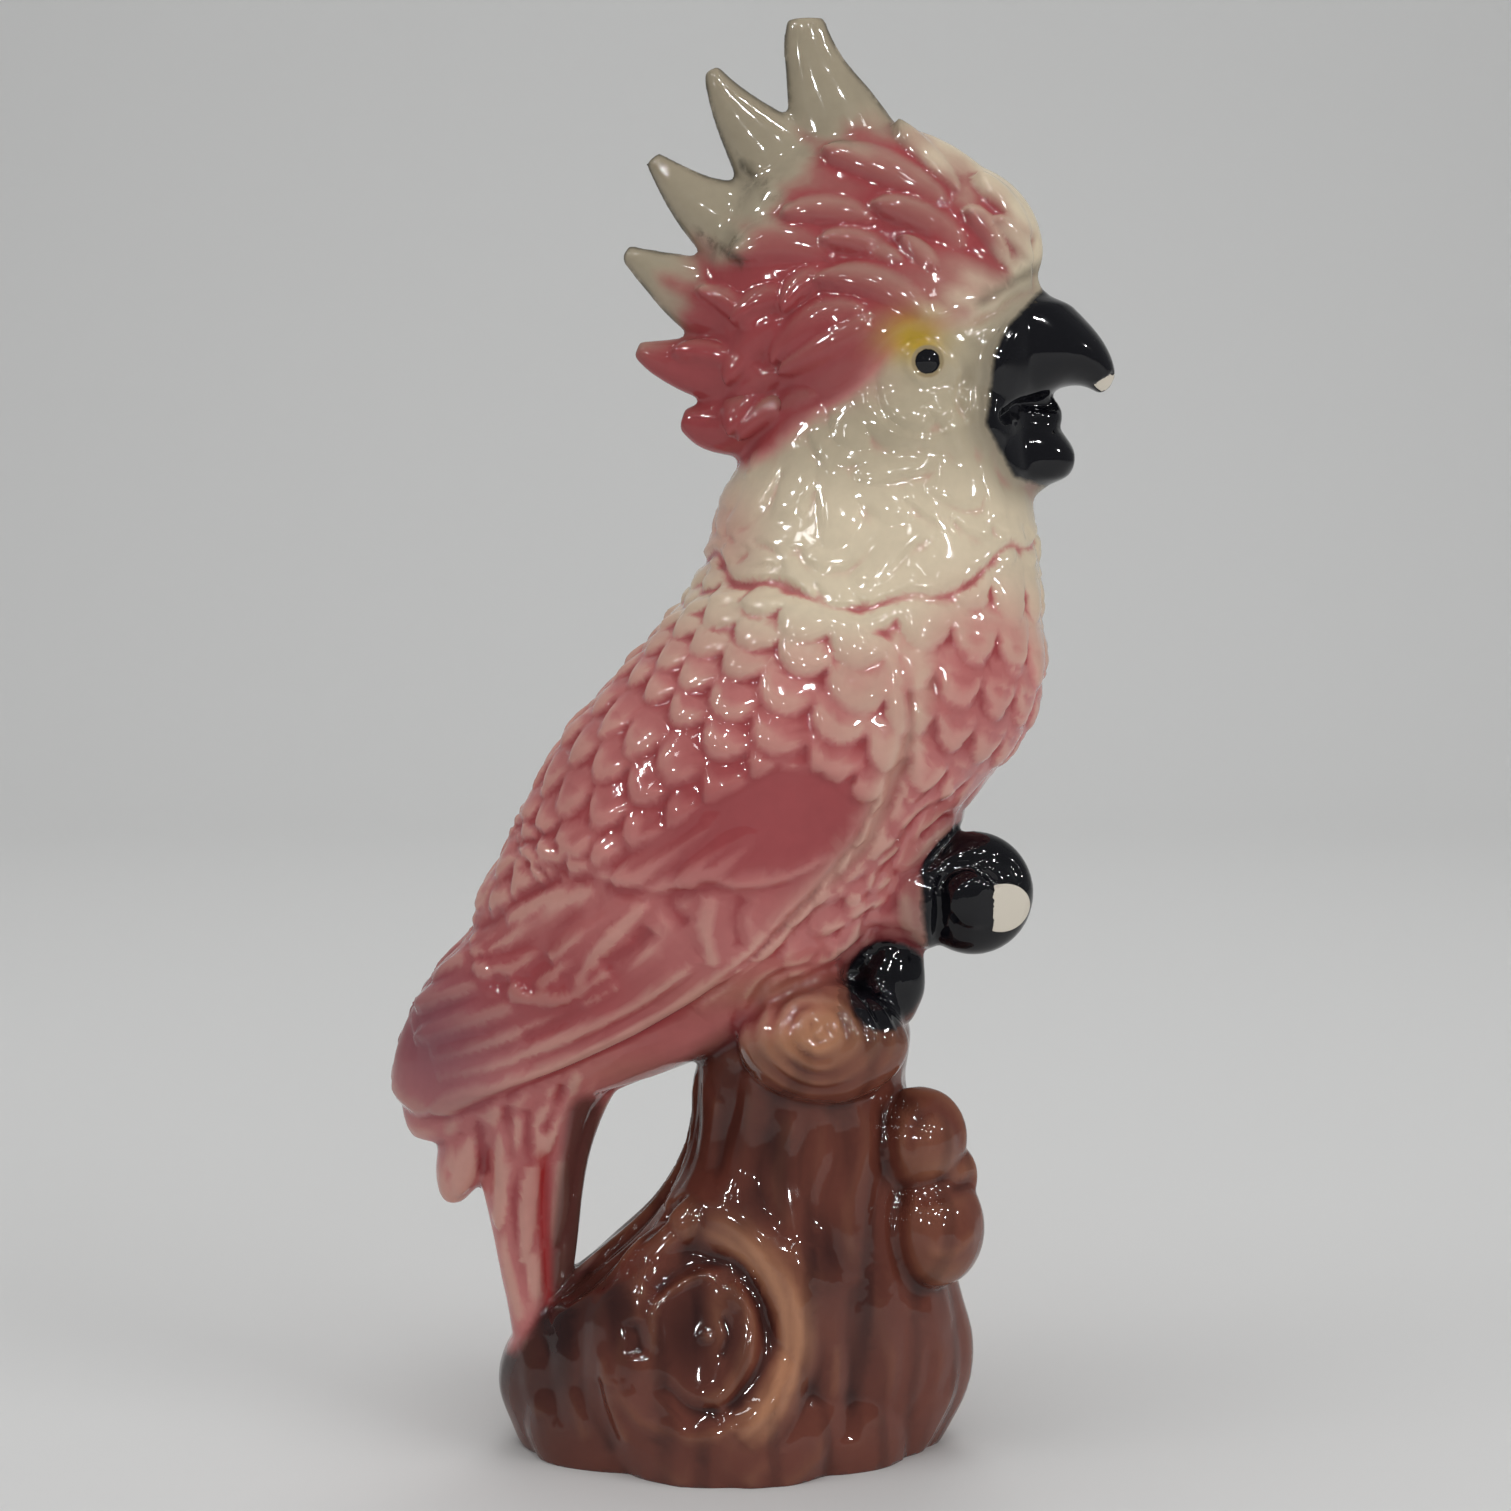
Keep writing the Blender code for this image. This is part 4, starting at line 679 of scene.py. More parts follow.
def strokes(points, table, rise, quill=0.0):
    """Height of overlapping leaf shapes, each thickest toward its tip and crisp along its left edge."""
    height = np.zeros(len(points))
    t = np.linspace(0, 1, LINE_SAMPLES)[:, None]
    for root, bend, tip, half in table:
        line = (1 - t) ** 2 * np.array(root) + 2 * t * (1 - t) * np.array(bend) + t ** 2 * np.array(tip)
        near, distance, along, left = near_line(points, line, half)
        reach = np.clip(distance / (half * (0.3 + 0.7 * bulge(along, 0.5))), 0, 1)
        rounded = np.where(left, 1 - reach ** 3, (1 - reach ** 2) ** 1.4)
        groove = 1 - quill * hump(distance, QUILL_WIDTH)
        height[near] = np.maximum(height[near], rise * (0.3 + 0.7 * along) * rounded * groove)
    return height


def lines(points, table):
    """Height of long rounded ridges and, where negative, grooves that thin out at both ends."""
    height = np.zeros(len(points))
    for *path, half, rise in table:
        near, distance, along, _ = near_line(points, smooth_rows(path, 12), 3 * half)
        taper = np.clip(0.15 + 1.4 * bulge(along, 0.6), 0, 1)
        height[near] += rise * taper * hump(distance, half)
    return height


def ledges(points, table):
    """Height of overlapping edges: a step up across the line that sinks away behind it."""
    height = np.zeros(len(points))
    for *path, rise, fade in table:
        line = smooth_rows(path, 8)
        near, _, along, _ = near_line(points, line, 3 * fade)
        reach = polyline_reach(points[near], line)
        edge = step(-EDGE_WIDTH, EDGE_WIDTH, reach) * np.exp(-np.maximum(reach, 0) / fade)
        height[near] += rise * np.clip(1.6 * bulge(along, 0.6), 0, 1) * edge
    return height


def scattered(row, column):
    """A fixed number from -0.5 to 0.5 for each feather of each row."""
    value = np.sin(row * 12.9898 + column * 78.233) * 43758.5453
    return value - np.floor(value) - 0.5


def scale_rows(along, angle, girth, pitch, width, rise, wander=0.0):
    """Height of rows of overlapping round-ended feathers, along the body and round it."""
    height = np.zeros(len(along))
    reach = pitch * FEATHER_OVERLAP
    along = along + wander * (np.sin(3.1 * angle + 0.21 * along) + np.sin(7.3 * angle + 1.9))
    angle = angle + 0.05 * wander * np.sin(0.33 * along + 2.0 * angle)
    for back in (0, 1):
        row = np.floor(along / pitch) - back
        count = np.maximum(np.round(np.interp(row * pitch, *girth) / width), 6)
        turn = angle / (2 * math.pi) * count + 0.5 * (row % 2)
        column = np.floor(turn) % count
        drift = FEATHER_DRIFT * scattered(row, column)
        across = 2 * (turn - np.floor(turn)) - 1
        out = np.clip((along - row * pitch) / reach / (1 - 0.40 * np.abs(across) ** 2.2 + drift), 0, 1)
        lift = rise * 1.45 * out ** 1.1 * (1 - out ** 5) * (1 - 0.55 * across ** 2)
        height = np.maximum(height, np.where(out < 1, lift, 0))
    return height


def body_frame(points):
    """Distance along the torso's axis, angle round it, and its girth along the way."""
    rows = smooth_rows(TORSO)
    middle = (rows[:, :2] + rows[:, 2:4]) / 2
    depth = np.linalg.norm(rows[:, :2] - rows[:, 2:4], axis=1) / 2
    run = np.linalg.norm(np.diff(middle, axis=0), axis=1)
    travel = np.concatenate([[0], np.cumsum(run)])
    flat = points[:, [0, 2]]
    nearest = np.linalg.norm(flat[:, None] - middle[None], axis=2).argmin(1)
    gap = flat - middle[nearest]
    tangent = directions(middle)[nearest]
    u = travel[nearest] + (gap * tangent).sum(1)
    outward = gap[:, 0] * tangent[:, 1] - gap[:, 1] * tangent[:, 0]
    half = np.interp(u, travel, rows[:, 4])
    deep = np.interp(u, travel, depth)
    girth = math.pi * (rows[:, 4] + depth)
    return u, np.arctan2(points[:, 1] / half, outward / deep), (travel, girth)


def relief(points, normals):
    """Height of the carving over the smooth forms, at each point."""
    x, _, z = points.T
    flat = points[:, [0, 2]]
    side = step(0.1, 0.5, np.abs(normals[:, 1]))
    on_crest = polyline_reach(flat, CREST_EDGE, closed=True)
    off_crest = step(2, -3, on_crest)
    beak = polyline_reach(flat, BEAK_GROOVE)
    bare = np.minimum(away(flat, BALL), away(flat, BEAK) - BEAK_CLEARANCE)
    plumage = step(BARE_BALL, BARE_BALL + 4, bare)
    plumage *= step(PLUMAGE_FLOOR, PLUMAGE_FLOOR + 10, z + 0.4 * np.abs(x - PERCH[0]))

    height = -PLUMAGE_DEPTH * plumage * off_crest
    height += feathers(flat, points, side, bare, beak, off_crest)
    height += side * strokes(flat, CREST_LOCKS, LOCK_RISE)
    height += side * strokes(flat, TAIL_FEATHERS, TAIL_RISE) * step(TAIL_TOP, TAIL_TOP - 8, z)
    height += side * (lines(flat, TAIL_LINES) + ledges(flat, FLANK_LEDGES))
    height += stump_details(flat, points, side)
    height += face_details(flat, side, beak)
    height += claw_details(flat, points, side)
    return height


def feathers(flat, points, side, bare, beak, off_crest):
    """The wing, and the rows of feathers on the wing, breast, back and neck."""
    x, y, z = points.T
    u, angle, girth = body_frame(points)
    on_wing = polyline_reach(flat, WING, closed=True)
    strip = BACK_STRIP * step(BACK_STRIP_FOOT, BACK_STRIP_TOP, z)
    wing = step(0, WING_EDGE, on_wing) * step(strip, strip + 4, np.abs(y))
    height = WING_RISE * wing
    height += side * strokes(flat, FLIGHT_FEATHERS, QUILL_RISE, QUILL_GROOVE) * (on_wing > 0)
    height += side * (lines(flat, WING_LINES) + ledges(flat, WING_LEDGES))

    above_fold = polyline_reach(flat, NECK_FOLD) + FOLD_SCALLOP * np.cos(9 * angle)
    in_coverts = polyline_reach(flat, COVERTS, closed=True)
    above_flank = polyline_reach(flat, FLANK_LINE)
    above_leg = step(LEG_TOP, LEG_TOP + 10, z + 0.5 * np.maximum(-x - 20, 0))
    torso = step(0, 4, -above_fold) * off_crest * above_leg * step(BARE_BALL - 1, BARE_BALL + 3, bare)
    loose = BELLY_FEATHERS + (1 - BELLY_FEATHERS) * step(-6, 8, above_flank)
    scaled = torso * np.where(on_wing > 0, np.where(wing > 0.5, step(-1, 2, in_coverts), 1), loose)
    height += scaled * scale_rows(u, angle, girth, FEATHER_PITCH, FEATHER_WIDTH, FEATHER_RISE)

    neck = step(-0.5, 1, above_fold) * off_crest * step(-2, 6, NECK_TOP - z) * step(0, 8, -beak)
    height += neck * scale_rows(u, angle, girth, NECK_PITCH, NECK_WIDTH, NECK_RISE, NECK_WANDER)
    ruff = step(-2, 1.2, above_fold) * np.exp(-np.maximum(above_fold, 0) / FOLD_FADE)
    return height + FOLD_RISE * ruff * step(5, -5, np.abs(u - FOLD_MIDDLE) - FOLD_SPAN)


def stump_details(flat, points, side):
    """The ringed end of the perch, the big knot, the burls and the bark."""
    x, y, z = points.T
    front = side * step(4, 10, -y)
    height = side * lines(flat, BARK_LINES) * step(TAIL_BACK, TAIL_BACK + 10, x)
    height += front * (lines(flat, BURL_LINES) + lines(flat, KNOT_LINES))
    bowl = np.linalg.norm((flat - KNOT_BOWL) / KNOT_BOWL_SIZE, axis=1)
    height -= front * BOWL_DEPTH * np.exp(-bowl ** 3)

    gap = (flat - PERCH) / (PERCH_STRETCH, 1)
    ring, swirl = np.linalg.norm(gap, axis=1), np.arctan2(gap[:, 1], gap[:, 0])
    wavy = ring * (1 + 0.07 * np.sin(2 * swirl + 1)) + 0.25 * np.sin(5 * swirl)
    rings = np.cos(2 * math.pi * wavy / RING_PITCH) * (0.65 + 0.35 * np.sin(3 * swirl + 0.8))
    rings *= step(PERCH_RADIUS, PERCH_RADIUS - 4, ring)
    rings *= step(PERCH_FACE, PERCH_FACE + 4, np.abs(y))
    height += RING_RISE * side * rings * step(PERCH_FLOOR, PERCH_FLOOR + 6, z)

    turn = np.arctan2(y, x - FOOT_CENTRE[0])
    folds = np.sin(BARK_FOLDS * turn + 0.06 * z) + 0.65 * np.sin((BARK_FOLDS + 10) * turn + 1.7)
    bark = step(BARK_TOP, BARK_TOP - 8, z)
    bark *= step(TAIL_BACK, TAIL_BACK + 10, x + 0.3 * np.maximum(z - 30, 0))
    return height + BARK_RISE * bark * (1 - 0.9 * front) * folds


def face_details(flat, side, beak):
    """Eye, the bare disc round it, and the beak's edge and opening."""
    eye = away(flat, EYE)
    ball = step(EYE_RADIUS + 0.5, 0, eye)
    lid = hump(eye - LID_RADIUS, LID_WIDTH)
    disc = hump(away(flat, EYE_DISC) - DISC_RADIUS, DISC_WIDTH)
    height = side * (EYE_RISE * (ball + lid) - DISC_DEPTH * disc)
    near_beak = step(BEAK_REACH + 4, BEAK_REACH - 4, away(flat, BEAK_MIDDLE))
    height -= near_beak * BEAK_GROOVE_DEPTH * hump(beak, BEAK_GROOVE_WIDTH)
    height -= side * near_beak * GAPE_DEPTH * hump(polyline_reach(flat, GAPE), GAPE_WIDTH)
    return height + side * lines(flat, FACE_LINES)


def claw_details(flat, points, side):
    """The nut held in the raised claw, and the toes round it."""
    nut = step(NUT_RADIUS, NUT_RADIUS - 2.3, away(flat, BALL)) * step(-4, -10, points[:, 1])
    return NUT_RISE * nut + side * lines(flat, CLAW_LINES)


def chip_flat(points, chip):
    """How far points lie past a chip's flat, whether they are near it, and the way it faces."""
    centre, direction, reach = chip
    facing = np.array(direction) / np.linalg.norm(direction)
    return (points - centre) @ facing, away(points, centre) < reach, facing


def carve(mesh):
    """Moves the surface by the relief's height and cuts the chips flat."""
    points, normals = vertex_array(mesh, "co") / MM, vertex_array(mesh, "normal")
    points += normals * relief(points, normals)[:, None]
    for chip in (BEAK_CHIP, CLAW_CHIP):
        past, near, facing = chip_flat(points, chip)
        points -= np.where(near, np.maximum(past, 0), 0)[:, None] * facing
    mesh.vertices.foreach_set("co", (points * MM).astype(np.float32).ravel())
    mesh.update()


def foot_outline(mesh, scale):
    """The stump's outline at the ground, drawn in about its middle."""
    points = vertex_array(mesh, "co") / MM
    low = points[np.abs(points[:, 2]) < 2][:, :2] - FOOT_CENTRE
    outline = []
    for a in TURN:
        outward = np.array([math.cos(a), math.sin(a)])
        outline.append(scale * (low @ outward).max() * outward)
    return outline


def foot_cutters(mesh):
    """What the ground, the shallow recess and the drain hole take away."""
    ground = bmesh.new()
    size = Vector((GROUND_SIZE, GROUND_SIZE, GROUND_DEPTH)) * MM
    bmesh.ops.create_cube(ground, size=1, matrix=Matrix.Diagonal((*size, 1)))
    rings = [[(x * s, y * s, z) for x, y in foot_outline(mesh, RECESS_SCALE)] for s, z in RECESS_SECTIONS]
    drain = bmesh.new()
    radius = DRAIN_DIAMETER / 2 * MM
    bmesh.ops.create_cone(drain, cap_ends=True, segments=RING_POINTS, radius1=radius,
                          radius2=radius * DRAIN_TAPER, depth=DRAIN_DEPTH * MM)
    tools = []
    for name, form, location in (
        ("ground_cutter", finished_mesh(ground), (0, 0, -GROUND_DEPTH / 2)),
        ("recess_cutter", ring_mesh(rings), (*FOOT_CENTRE, 0)),
        ("drain_cutter", finished_mesh(drain), (*FOOT_CENTRE, DRAIN_DEPTH / 2)),
    ):
        tools.append(placed(name, form))
        tools[-1].location = Vector(location) * MM
    return tools


def smoothed(points, edges, rounds):
    """Each point moved halfway to the mean of its neighbours, the given number of times."""
    count = np.bincount(edges.ravel(), minlength=len(points))[:, None]
    for _ in range(rounds):
        total = np.zeros_like(points)
        for a, b in ((0, 1), (1, 0)):
            for axis in range(points.shape[1]):
                total[:, axis] += np.bincount(edges[:, a], points[edges[:, b], axis], len(points))
        points = (points + total / np.maximum(count, 1)) / 2
    return points


def edge_array(mesh):
    edges = np.empty(len(mesh.edges) * 2, np.int32)
    mesh.edges.foreach_get("vertices", edges)
    return edges.reshape(-1, 2)


def put_attribute(mesh, name, values):
    if values.ndim == 2:
        layer = mesh.attributes.new(name, "FLOAT_COLOR", "POINT")
        layer.data.foreach_set("color", np.c_[values, np.ones(len(values))].astype(np.float32).ravel())
    else:
        layer = mesh.attributes.new(name, "FLOAT", "POINT")
        layer.data.foreach_set("value", values.astype(np.float32))


def get_attribute(mesh, name):
    values = np.zeros(len(mesh.vertices), np.float32)
    mesh.attributes[name].data.foreach_get("value", values)
    return values.astype(float)


def sculpture():
    """The figure with its carving, cut flat below, on a fine mesh."""
    bird = fused_forms()
    mesh = bird.data
    carve(mesh)
    points, normals = vertex_array(mesh, "co") / MM, vertex_array(mesh, "normal")
    edges = edge_array(mesh)
    near = smoothed(points, edges, 2)
    hollow = ((smoothed(near, edges, HOLLOW_ROUNDS) - near) * normals).sum(1)
    put_attribute(mesh, "hollow", smoothed(hollow[:, None], edges, 1)[:, 0])
    put_attribute(mesh, "broad_hollow", ((smoothed(near, edges, BROAD_ROUNDS) - near) * normals).sum(1))

    modify(bird, "SMOOTH", factor=0.5, iterations=RELIEF_SOFTENING)
    fewer = min(1.0, TRIANGLES / (2 * len(mesh.polygons)))
    modify(bird, "DECIMATE", use_collapse_triangulate=True, ratio=fewer)
    tools = foot_cutters(mesh)
    for tool in tools:
        modify(bird, "BOOLEAN", operation="DIFFERENCE", solver="EXACT", object=tool)
    applied(bird)
    for tool in tools:
        bpy.data.objects.remove(tool)
    bird.data.shade_smooth()
    return bird


def mixed(colour, other, amount):
    """Colours moved toward another colour by an amount from 0 to 1."""
    amount = np.clip(amount, 0, 1)[:, None]
    return colour * (1 - amount) + np.array(other) * amount


def layered(colour, layers):
    """Colours with one paint after another sprayed over them: each paint and its amount."""
    for other, amount in layers:
        colour = mixed(colour, other, amount)
    return colour


def spots(flat, table):
    """Soft sprayed spots: centre, half sizes, amount."""
    total = np.zeros(len(flat))
    for centre, half_sizes, amount in table:
        total += amount * np.exp(-(((flat - centre) / half_sizes) ** 2).sum(1))
    return total


def streak(flat, line, width):
    """1 on a line of points, fading out on both sides of it."""
    return hump(polyline_reach(flat, line), width)


def bird_paint(points, normals, hollow, broad):
    """The bird's creams and pinks, with painted shade and highlights, and how far the pale crest tips
    reach.
    """
    x, z = points[:, 0], points[:, 2]
    flat = points[:, [0, 2]]
    on_crest = polyline_reach(flat, CREST_EDGE, closed=True)
    above_fold = polyline_reach(flat, NECK_FOLD)
    crested = step(-3, 3, on_crest)
    face = step(*FACE_FOOT, z) * step(3, -3, on_crest)
    neck = step(-2, 4, above_fold) * (1 - crested)
    wander = 2.5 * np.sin(0.42 * x + 0.9) * np.cos(0.36 * z) + 1.2 * np.sin(0.9 * z + 0.5 * x)
    in_pink = polyline_reach(flat, CREST_PINK, closed=True) + wander
    crest = np.maximum(step(-8, 7, in_pink), step(*CREST_LOW, z)) * step(-5, 2, on_crest)

    blush = step(*BLUSH, z + BLUSH_SLOPE * x) * step(2, -6, above_fold)
    body = np.clip(BODY_TINT + BODY_PINK * blush + spots(flat, PINK_SPRAY), 0, 1) * (1 - face)
    crest_and_face = CREST_AMOUNT * crest + spots(flat, FACE_BLUSH) * step(5, -2, on_crest)
    pink = np.maximum(body * step(3, -4, on_crest), crest_and_face)
    # More pink in hollows, partly gathered airbrush and partly painted shade, and less on raised parts as
    # painted highlight
    pooled_and_shade = (POOLED_AND_SHADE + (POOLED_AND_SHADE_CREST - POOLED_AND_SHADE) * crested) * (1 - 0.8 * face) * (1 - 0.6 * neck)
    proud = (PROUD + (PROUD_CREST - PROUD) * crested) * step(0.3, 0.8, pink)
    sprayed = pink + pooled_and_shade * step(0.05, 0.35, hollow) - proud * step(0.02, 0.16, -hollow)
    # On the crest, painted shade in broad hollows and on faces turned down, and painted light on faces
    # turned up
    shade = CREST_SHADE * step(-0.1, 0.5, broad) - CREST_LIGHT * np.clip(normals[:, 2], -0.6, 0.6)
    sprayed += crested * crest * shade

    # Painted shade: the head, but not its forehead, takes the darker cream
    head = step(*HEAD_SHADE_FADE, z) * (1 - step(*BROW_HEIGHT, z) * step(*BROW_FRONT, x))
    reds = mixed(np.tile(PINK, (len(points), 1)), ROSE, crested)
    tips = step(6, -7, in_pink) * step(-2, 3, on_crest) * step(*TIPS_FRONT, x) * step(*TIPS_LOW, z)
    tail = step(*TAIL_PAINT, z)
    olive = step(6, 2, np.abs(polyline_reach(flat, OLIVE_STRIP)))
    return layered(np.tile(CREAM, (len(points), 1)), (
        (HEAD_SHADE_CREAM, head),
        (reds, step(0.0, 0.75, sprayed)),
        (DEEP_PINK, step(0.5, 1.2, sprayed + spots(flat, DEEP_SPRAY))),
        (MAUVE, spots(flat, MAUVE_SPRAY)),
        # Painted highlight: cream along the wing's front ridge
        (CREAM, 0.32 * streak(flat, WING_RIDGE_HIGHLIGHT, 2.8) * step(110, 150, z)),
        (CREST_CREAM, tips),
        (HAZE, spots(flat, HAZE_SPRAY)),
        (GRIME_AND_SHADE, spots(flat, CHIN_SPRAY)),
        # Painted shade along the brow's groove
        (GRIME_AND_SHADE, 0.55 * streak(flat, BROW_SHADE, 1.3) * (z > 255)),
        (OLIVE, 0.9 * olive * tail),
        (RED, 0.85 * streak(flat, RED_STREAK, 1.3) * tail),
        (YELLOW, spots(flat, YELLOW_SPRAY) * step(0.3, 0.7, np.abs(normals[:, 1]))),
    )), tips


def stump_paint(points, hollow, broad):
    """The stump's browns: dark in hollows as painted shade and in runs down the bark, tan on the perch
    and knot lip, and a little tan on raised bark as painted highlight.
    """
    x, y, z = points.T
    flat = points[:, [0, 2]]
    # Painted shade: hollows darkened, less so where the burls meet the trunk
    deep = (hollow + 0.5 * broad) * (1 - 0.6 * hump(x - BURL_EDGE, 4))
    bark = mixed(np.tile(BROWN, (len(points), 1)), DARK_BROWN, 0.85 * step(0.0, 0.9, deep))
    lip = streak(flat, KNOT_LIP, 4.2) * step(2, 8, -y) * step(-18, 0, x) * step(4, 22, z)
    lip *= 0.8 + 0.2 * np.sin(1.9 * np.hypot(x - KNOT_BOWL[0], 0.8 * (z - KNOT_BOWL[1])))
    proud = -hollow - 0.2 * broad
    tan = (spots(flat, TAN_SPRAY) + 1.1 * lip) * step(-0.35, 0.15, proud)
    # A little tan on raised bark: painted highlight
    bark = mixed(bark, TAN, 0.24 * step(0.05, 0.5, proud) + tan)
    runs = np.sin(0.55 * x + 1.6 * np.sin(0.06 * z) + 0.4 * y) * np.sin(0.23 * x - 0.05 * z + 1.0)
    dark = spots(flat, DARK_SPRAY_AND_SHADE) + 0.35 * step(0.0, 0.8, runs)
    return mixed(bark, DARK_BROWN, dark * (1 - 0.8 * np.clip(tan, 0, 1)))


def black_reach(points):
    """Distance inside the black of the beak, the raised claw and the standing foot."""
    x, _, z = points.T
    flat = points[:, [0, 2]]
    beak = np.where(z > BEAK_FLOOR, polyline_reach(flat, BEAK_BLACK), -FAR)
    claw = np.minimum(CLAW_BLACK - away(points, CLAW_MIDDLE), x - LEG_BLACK)
    foot = np.where(x > FOOT_FRONT, FOOT_BLACK - away(flat, FOOT_MIDDLE), -FAR)
    return np.maximum(np.maximum(beak, -FAR), np.maximum(claw, foot))


def paint(mesh):
    """Stores the airbrushed colours with their painted shade and highlights, and the distances that the
    glaze needs, at each point.
    """
    points, normals = vertex_array(mesh, "co") / MM, vertex_array(mesh, "normal")
    x, y, z = points.T
    flat = points[:, [0, 2]]
    hollow, broad = get_attribute(mesh, "hollow"), get_attribute(mesh, "broad_hollow")
    colour, tips = bird_paint(points, normals, hollow, broad)
    softness = 1.5 + 4.0 * step(-22, -5, x)
    wood = step(-1, 1, -polyline_reach(flat, STUMP_TOP) / softness)
    dirt = tips * step(0.85, 0.35, np.abs(normals[:, 1]))
    for line in DIRT_LINES:
        dirt = np.maximum(dirt, 0.9 * streak(flat, line, 1.1) * (z > 270))
    past, near, _ = chip_flat(points, BEAK_CHIP)
    put_attribute(mesh, "paint", mixed(colour, stump_paint(points, hollow, broad), wood))
    put_attribute(mesh, "black", black_reach(points))
    put_attribute(mesh, "pupil", np.where(np.abs(y) > 8, away(flat, EYE), FAR))
    put_attribute(mesh, "chip", np.where(near, (past + 0.15) * 4, -FAR))
    put_attribute(mesh, "grime", dirt)
    for name in ("hollow", "broad_hollow"):
        mesh.attributes.remove(mesh.attributes[name])


class Nodes:
    """Short calls for building a material's node tree."""

    def __init__(self, material):
        self.tree = material.node_tree

    def add(self, kind, **settings):
        node = self.tree.nodes.new(kind)
        for key, value in settings.items():
            setattr(node, key, value)
        return node

    def put(self, socket, value):
        if isinstance(value, bpy.types.NodeSocket):
            self.tree.links.new(value, socket)
        elif value is not None:
            socket.default_value = value

    def math(self, operation, a, b=None, c=None):
        node = self.add("ShaderNodeMath", operation=operation)
        for socket, value in zip(node.inputs, (a, b, c)):
            self.put(socket, value)
        return node.outputs[0]

    def times(self, a, b):
        return self.math("MULTIPLY", a, b)

    def ramp(self, value, low, high):
        """0 at low and 1 at high, smooth between."""
        node = self.add("ShaderNodeMapRange", interpolation_type="SMOOTHSTEP")
        for socket, setting in zip(node.inputs, (value, low, high, 0.0, 1.0)):
            self.put(socket, setting)
        return node.outputs[0]

    def mix(self, factor, a, b, blend="MIX"):
        node = self.add("ShaderNodeMix", data_type="RGBA", blend_type=blend)
        self.put(node.inputs[0], factor)
        self.put(node.inputs[6], a)
        self.put(node.inputs[7], b)
        return node.outputs[2]

    def noise(self, place, scale, detail=3.0, roughness=0.5):
        node = self.add("ShaderNodeTexNoise")
        settings = {"Vector": place, "Scale": scale, "Detail": detail, "Roughness": roughness}
        for name, value in settings.items():
            self.put(node.inputs[name], value)
        return node.outputs["Fac"]

    def attribute(self, name, output="Fac"):
        return self.add("ShaderNodeAttribute", attribute_name=name).outputs[output]


def claw_chip(n, place):
    """1 on the claw's bare chip, an oval with a straight left edge on the near side."""
    parts = n.add("ShaderNodeSeparateXYZ")
    n.put(parts.inputs[0], place)
    x, y, z = parts.outputs
    across = n.math("SUBTRACT", x, (CHIP_CENTRE[0] + CENTRING[0]) * MM)
    up = n.math("SUBTRACT", z, CHIP_CENTRE[1] * MM)
    ragged = n.math("MULTIPLY_ADD", n.noise(place, RAGGED, 2.0), 2 * CHIP_RAGGED * MM, -CHIP_RAGGED * MM)
    left = (CHIP_LEFT - CHIP_CENTRE[0]) * MM
    right_of = n.ramp(n.math("ADD", across, ragged), left - 0.1 * MM, left + 0.1 * MM)
    across = n.math("DIVIDE", across, CHIP_SIZE[0] * MM)
    up = n.math("DIVIDE", up, CHIP_SIZE[1] * MM)
    oval = n.ramp(n.math("ADD", n.times(across, across), n.times(up, up)), 1.03, 0.97)
    return n.times(n.times(oval, right_of), n.ramp(y, CHIP_FRONT[0] * MM, CHIP_FRONT[1] * MM))


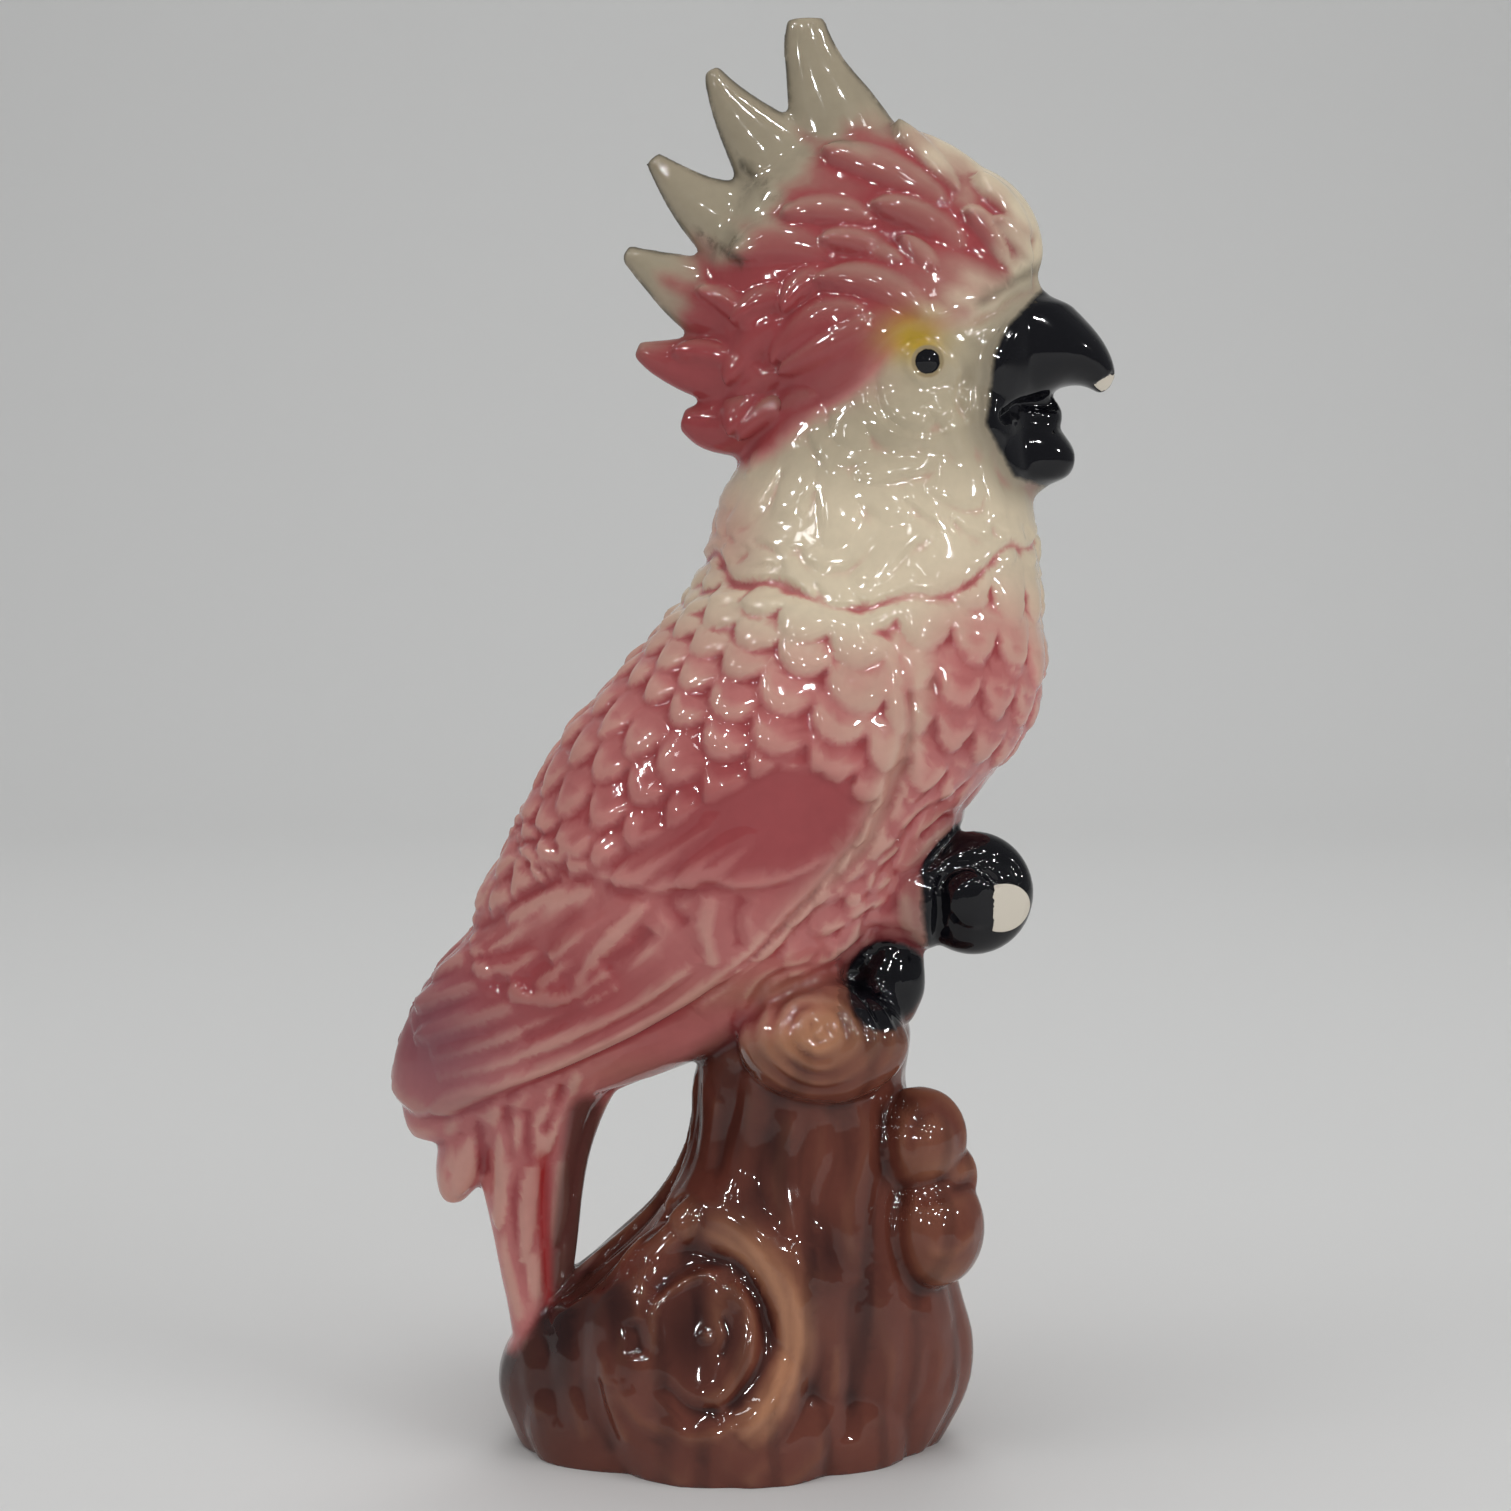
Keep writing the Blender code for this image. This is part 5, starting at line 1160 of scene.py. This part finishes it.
def glaze():
    """Airbrushed underglaze colours, with their painted shade and highlights, below a clear gloss glaze.
    """
    material = bpy.data.materials.new("glazed_ceramic")
    material.use_nodes = True
    n = Nodes(material)
    shader = material.node_tree.nodes["Principled BSDF"]
    place = n.add("ShaderNodeTexCoord").outputs["Object"]
    grain = n.noise(place, GRAIN)

    tone = n.math("MULTIPLY_ADD", grain, 0.12, n.math("MULTIPLY_ADD", n.noise(place, CLOUDS), 0.30, 0.79))
    colour = n.mix(1.0, n.attribute("paint", "Color"), tone, "MULTIPLY")
    grime = n.times(n.attribute("grime"), n.ramp(n.noise(place, DIRT, 5.0, 0.65), 0.32, 0.54))
    colour = n.mix(n.times(grime, 0.85), colour, (*GRIME_AND_SHADE, 1))

    edge = n.math("ADD", n.attribute("black"), n.math("MULTIPLY_ADD", grain, 1.2, -0.6))
    black = n.math("MAXIMUM", n.ramp(edge, -1.4, 1.0), n.times(n.ramp(edge, -8.0, 0.5), 0.42))
    colour = n.mix(black, colour, (*BLACK, 1))
    eye = n.attribute("pupil")
    colour = n.mix(n.times(n.ramp(eye, *LID_OUTSIDE), n.ramp(eye, *LID_INSIDE)), colour, (*EYELID, 1))
    colour = n.mix(n.ramp(eye, *PUPIL), colour, (*BLACK, 1))
    chip = n.math("MAXIMUM", n.ramp(n.attribute("chip"), -0.1, 0.25), claw_chip(n, place))
    colour = n.mix(chip, colour, (*BISCUIT, 1))

    cells = n.add("ShaderNodeTexVoronoi", feature="F1")
    n.put(cells.inputs["Vector"], place)
    n.put(cells.inputs["Scale"], PITS)
    pit = n.times(n.ramp(cells.outputs["Distance"], 0.075, 0.035),
                  n.ramp(n.noise(place, PIT_AREAS, 1.0), 0.60, 0.64))
    n.put(shader.inputs["Base Color"], n.mix(n.times(pit, 0.7), colour, (*GRIME_AND_SHADE, 1)))

    rough = n.math("MULTIPLY_ADD", grain, GRAIN_ROUGHNESS, GLOSS)
    n.put(shader.inputs["Roughness"], n.math("MULTIPLY_ADD", chip, CHIP_ROUGHNESS, rough))
    n.put(shader.inputs["Metallic"], 0.0)
    n.put(shader.inputs["IOR"], 1.5)
    n.put(shader.inputs["Specular IOR Level"], SPECULAR)

    bump = n.add("ShaderNodeBump")
    specks = n.times(n.noise(place, SPECKS, 2.0), SPECK_HEIGHT)
    swell = n.math("MULTIPLY_ADD", n.noise(place, SWELL, 2.0), SWELL_HEIGHT, specks)
    n.put(bump.inputs["Height"], n.math("MULTIPLY_ADD", pit, -PIT_DEPTH, swell))
    n.put(bump.inputs["Distance"], 1.0)
    n.put(bump.inputs["Strength"], BUMP)
    n.put(shader.inputs["Normal"], bump.outputs[0])
    return material


def backdrop():
    """A pale floor that curves up into a wall behind."""
    bend = [(FLOOR_FAR - CURVE * (1 - math.sin(a)), CURVE * (1 - math.cos(a)))
            for a in np.linspace(0, math.pi / 2, 17)]
    profile = [(-FLOOR_NEAR, 0.0), *bend, (FLOOR_FAR, WALL_TOP)]
    count = len(profile)
    mesh = bpy.data.meshes.new("backdrop")
    mesh.from_pydata([(x, y, z) for x in (-FLOOR_HALF, FLOOR_HALF) for y, z in profile], [],
                     [(i, count + i, count + i + 1, i + 1) for i in range(count - 1)])
    mesh.shade_smooth()
    cloth = bpy.data.materials.new("cloth")
    cloth.use_nodes = True
    shader = cloth.node_tree.nodes["Principled BSDF"]
    shader.inputs["Base Color"].default_value = (*CLOTH, 1)
    shader.inputs["Roughness"].default_value = CLOTH_ROUGHNESS
    mesh.materials.append(cloth)
    return placed("backdrop", mesh)


def lamp(name, place, power, size):
    """A square lamp that shines on the figure."""
    light = bpy.data.lights.new(name, "AREA")
    light.energy = power
    light.size = size
    obj = placed(name, light)
    obj.location = place
    obj.rotation_mode = "QUATERNION"
    obj.rotation_quaternion = (Vector(AIM) - obj.location).to_track_quat("-Z", "Y")
    return obj


def studio():
    """A faint sky, the panels that light the figure and the lamps that show in its glaze."""
    world = bpy.data.worlds.new("studio")
    bpy.context.scene.world = world
    world.use_nodes = True
    sky = world.node_tree.nodes["Background"]
    sky.inputs["Color"].default_value = (*SKY, 1)
    sky.inputs["Strength"].default_value = SKY_STRENGTH
    for name, place, power, size in PANELS:
        lamp(name, place, power, size).visible_glossy = False
    glints = [(place, GLINT_POWER, GLINT_SIZE) for place in GLINTS]
    for i, (place, power, size) in enumerate(glints + WINDOWS):
        lamp("glint_%d" % i, place, power, size).visible_diffuse = False


def camera():
    data = bpy.data.cameras.new("camera")
    data.lens = CAMERA_LENS
    data.sensor_width = 36
    data.clip_start, data.clip_end = 0.05, 20
    obj = placed("camera", data)
    obj.location = CAMERA_PLACE
    obj.rotation_euler = (math.radians(90 - CAMERA_PITCH), 0, 0)
    bpy.context.scene.camera = obj


def main():
    bird = sculpture()
    paint(bird.data)
    bird.data.transform(Matrix.Translation(Vector(CENTRING) * MM))
    bird.data.materials.clear()
    bird.data.materials.append(glaze())
    bird.name = "parrot_ceramic"
    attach(bird, "root")
    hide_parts(NAME)
    backdrop()
    studio()
    camera()
    bpy.context.scene.view_settings.view_transform = "Standard"


main()
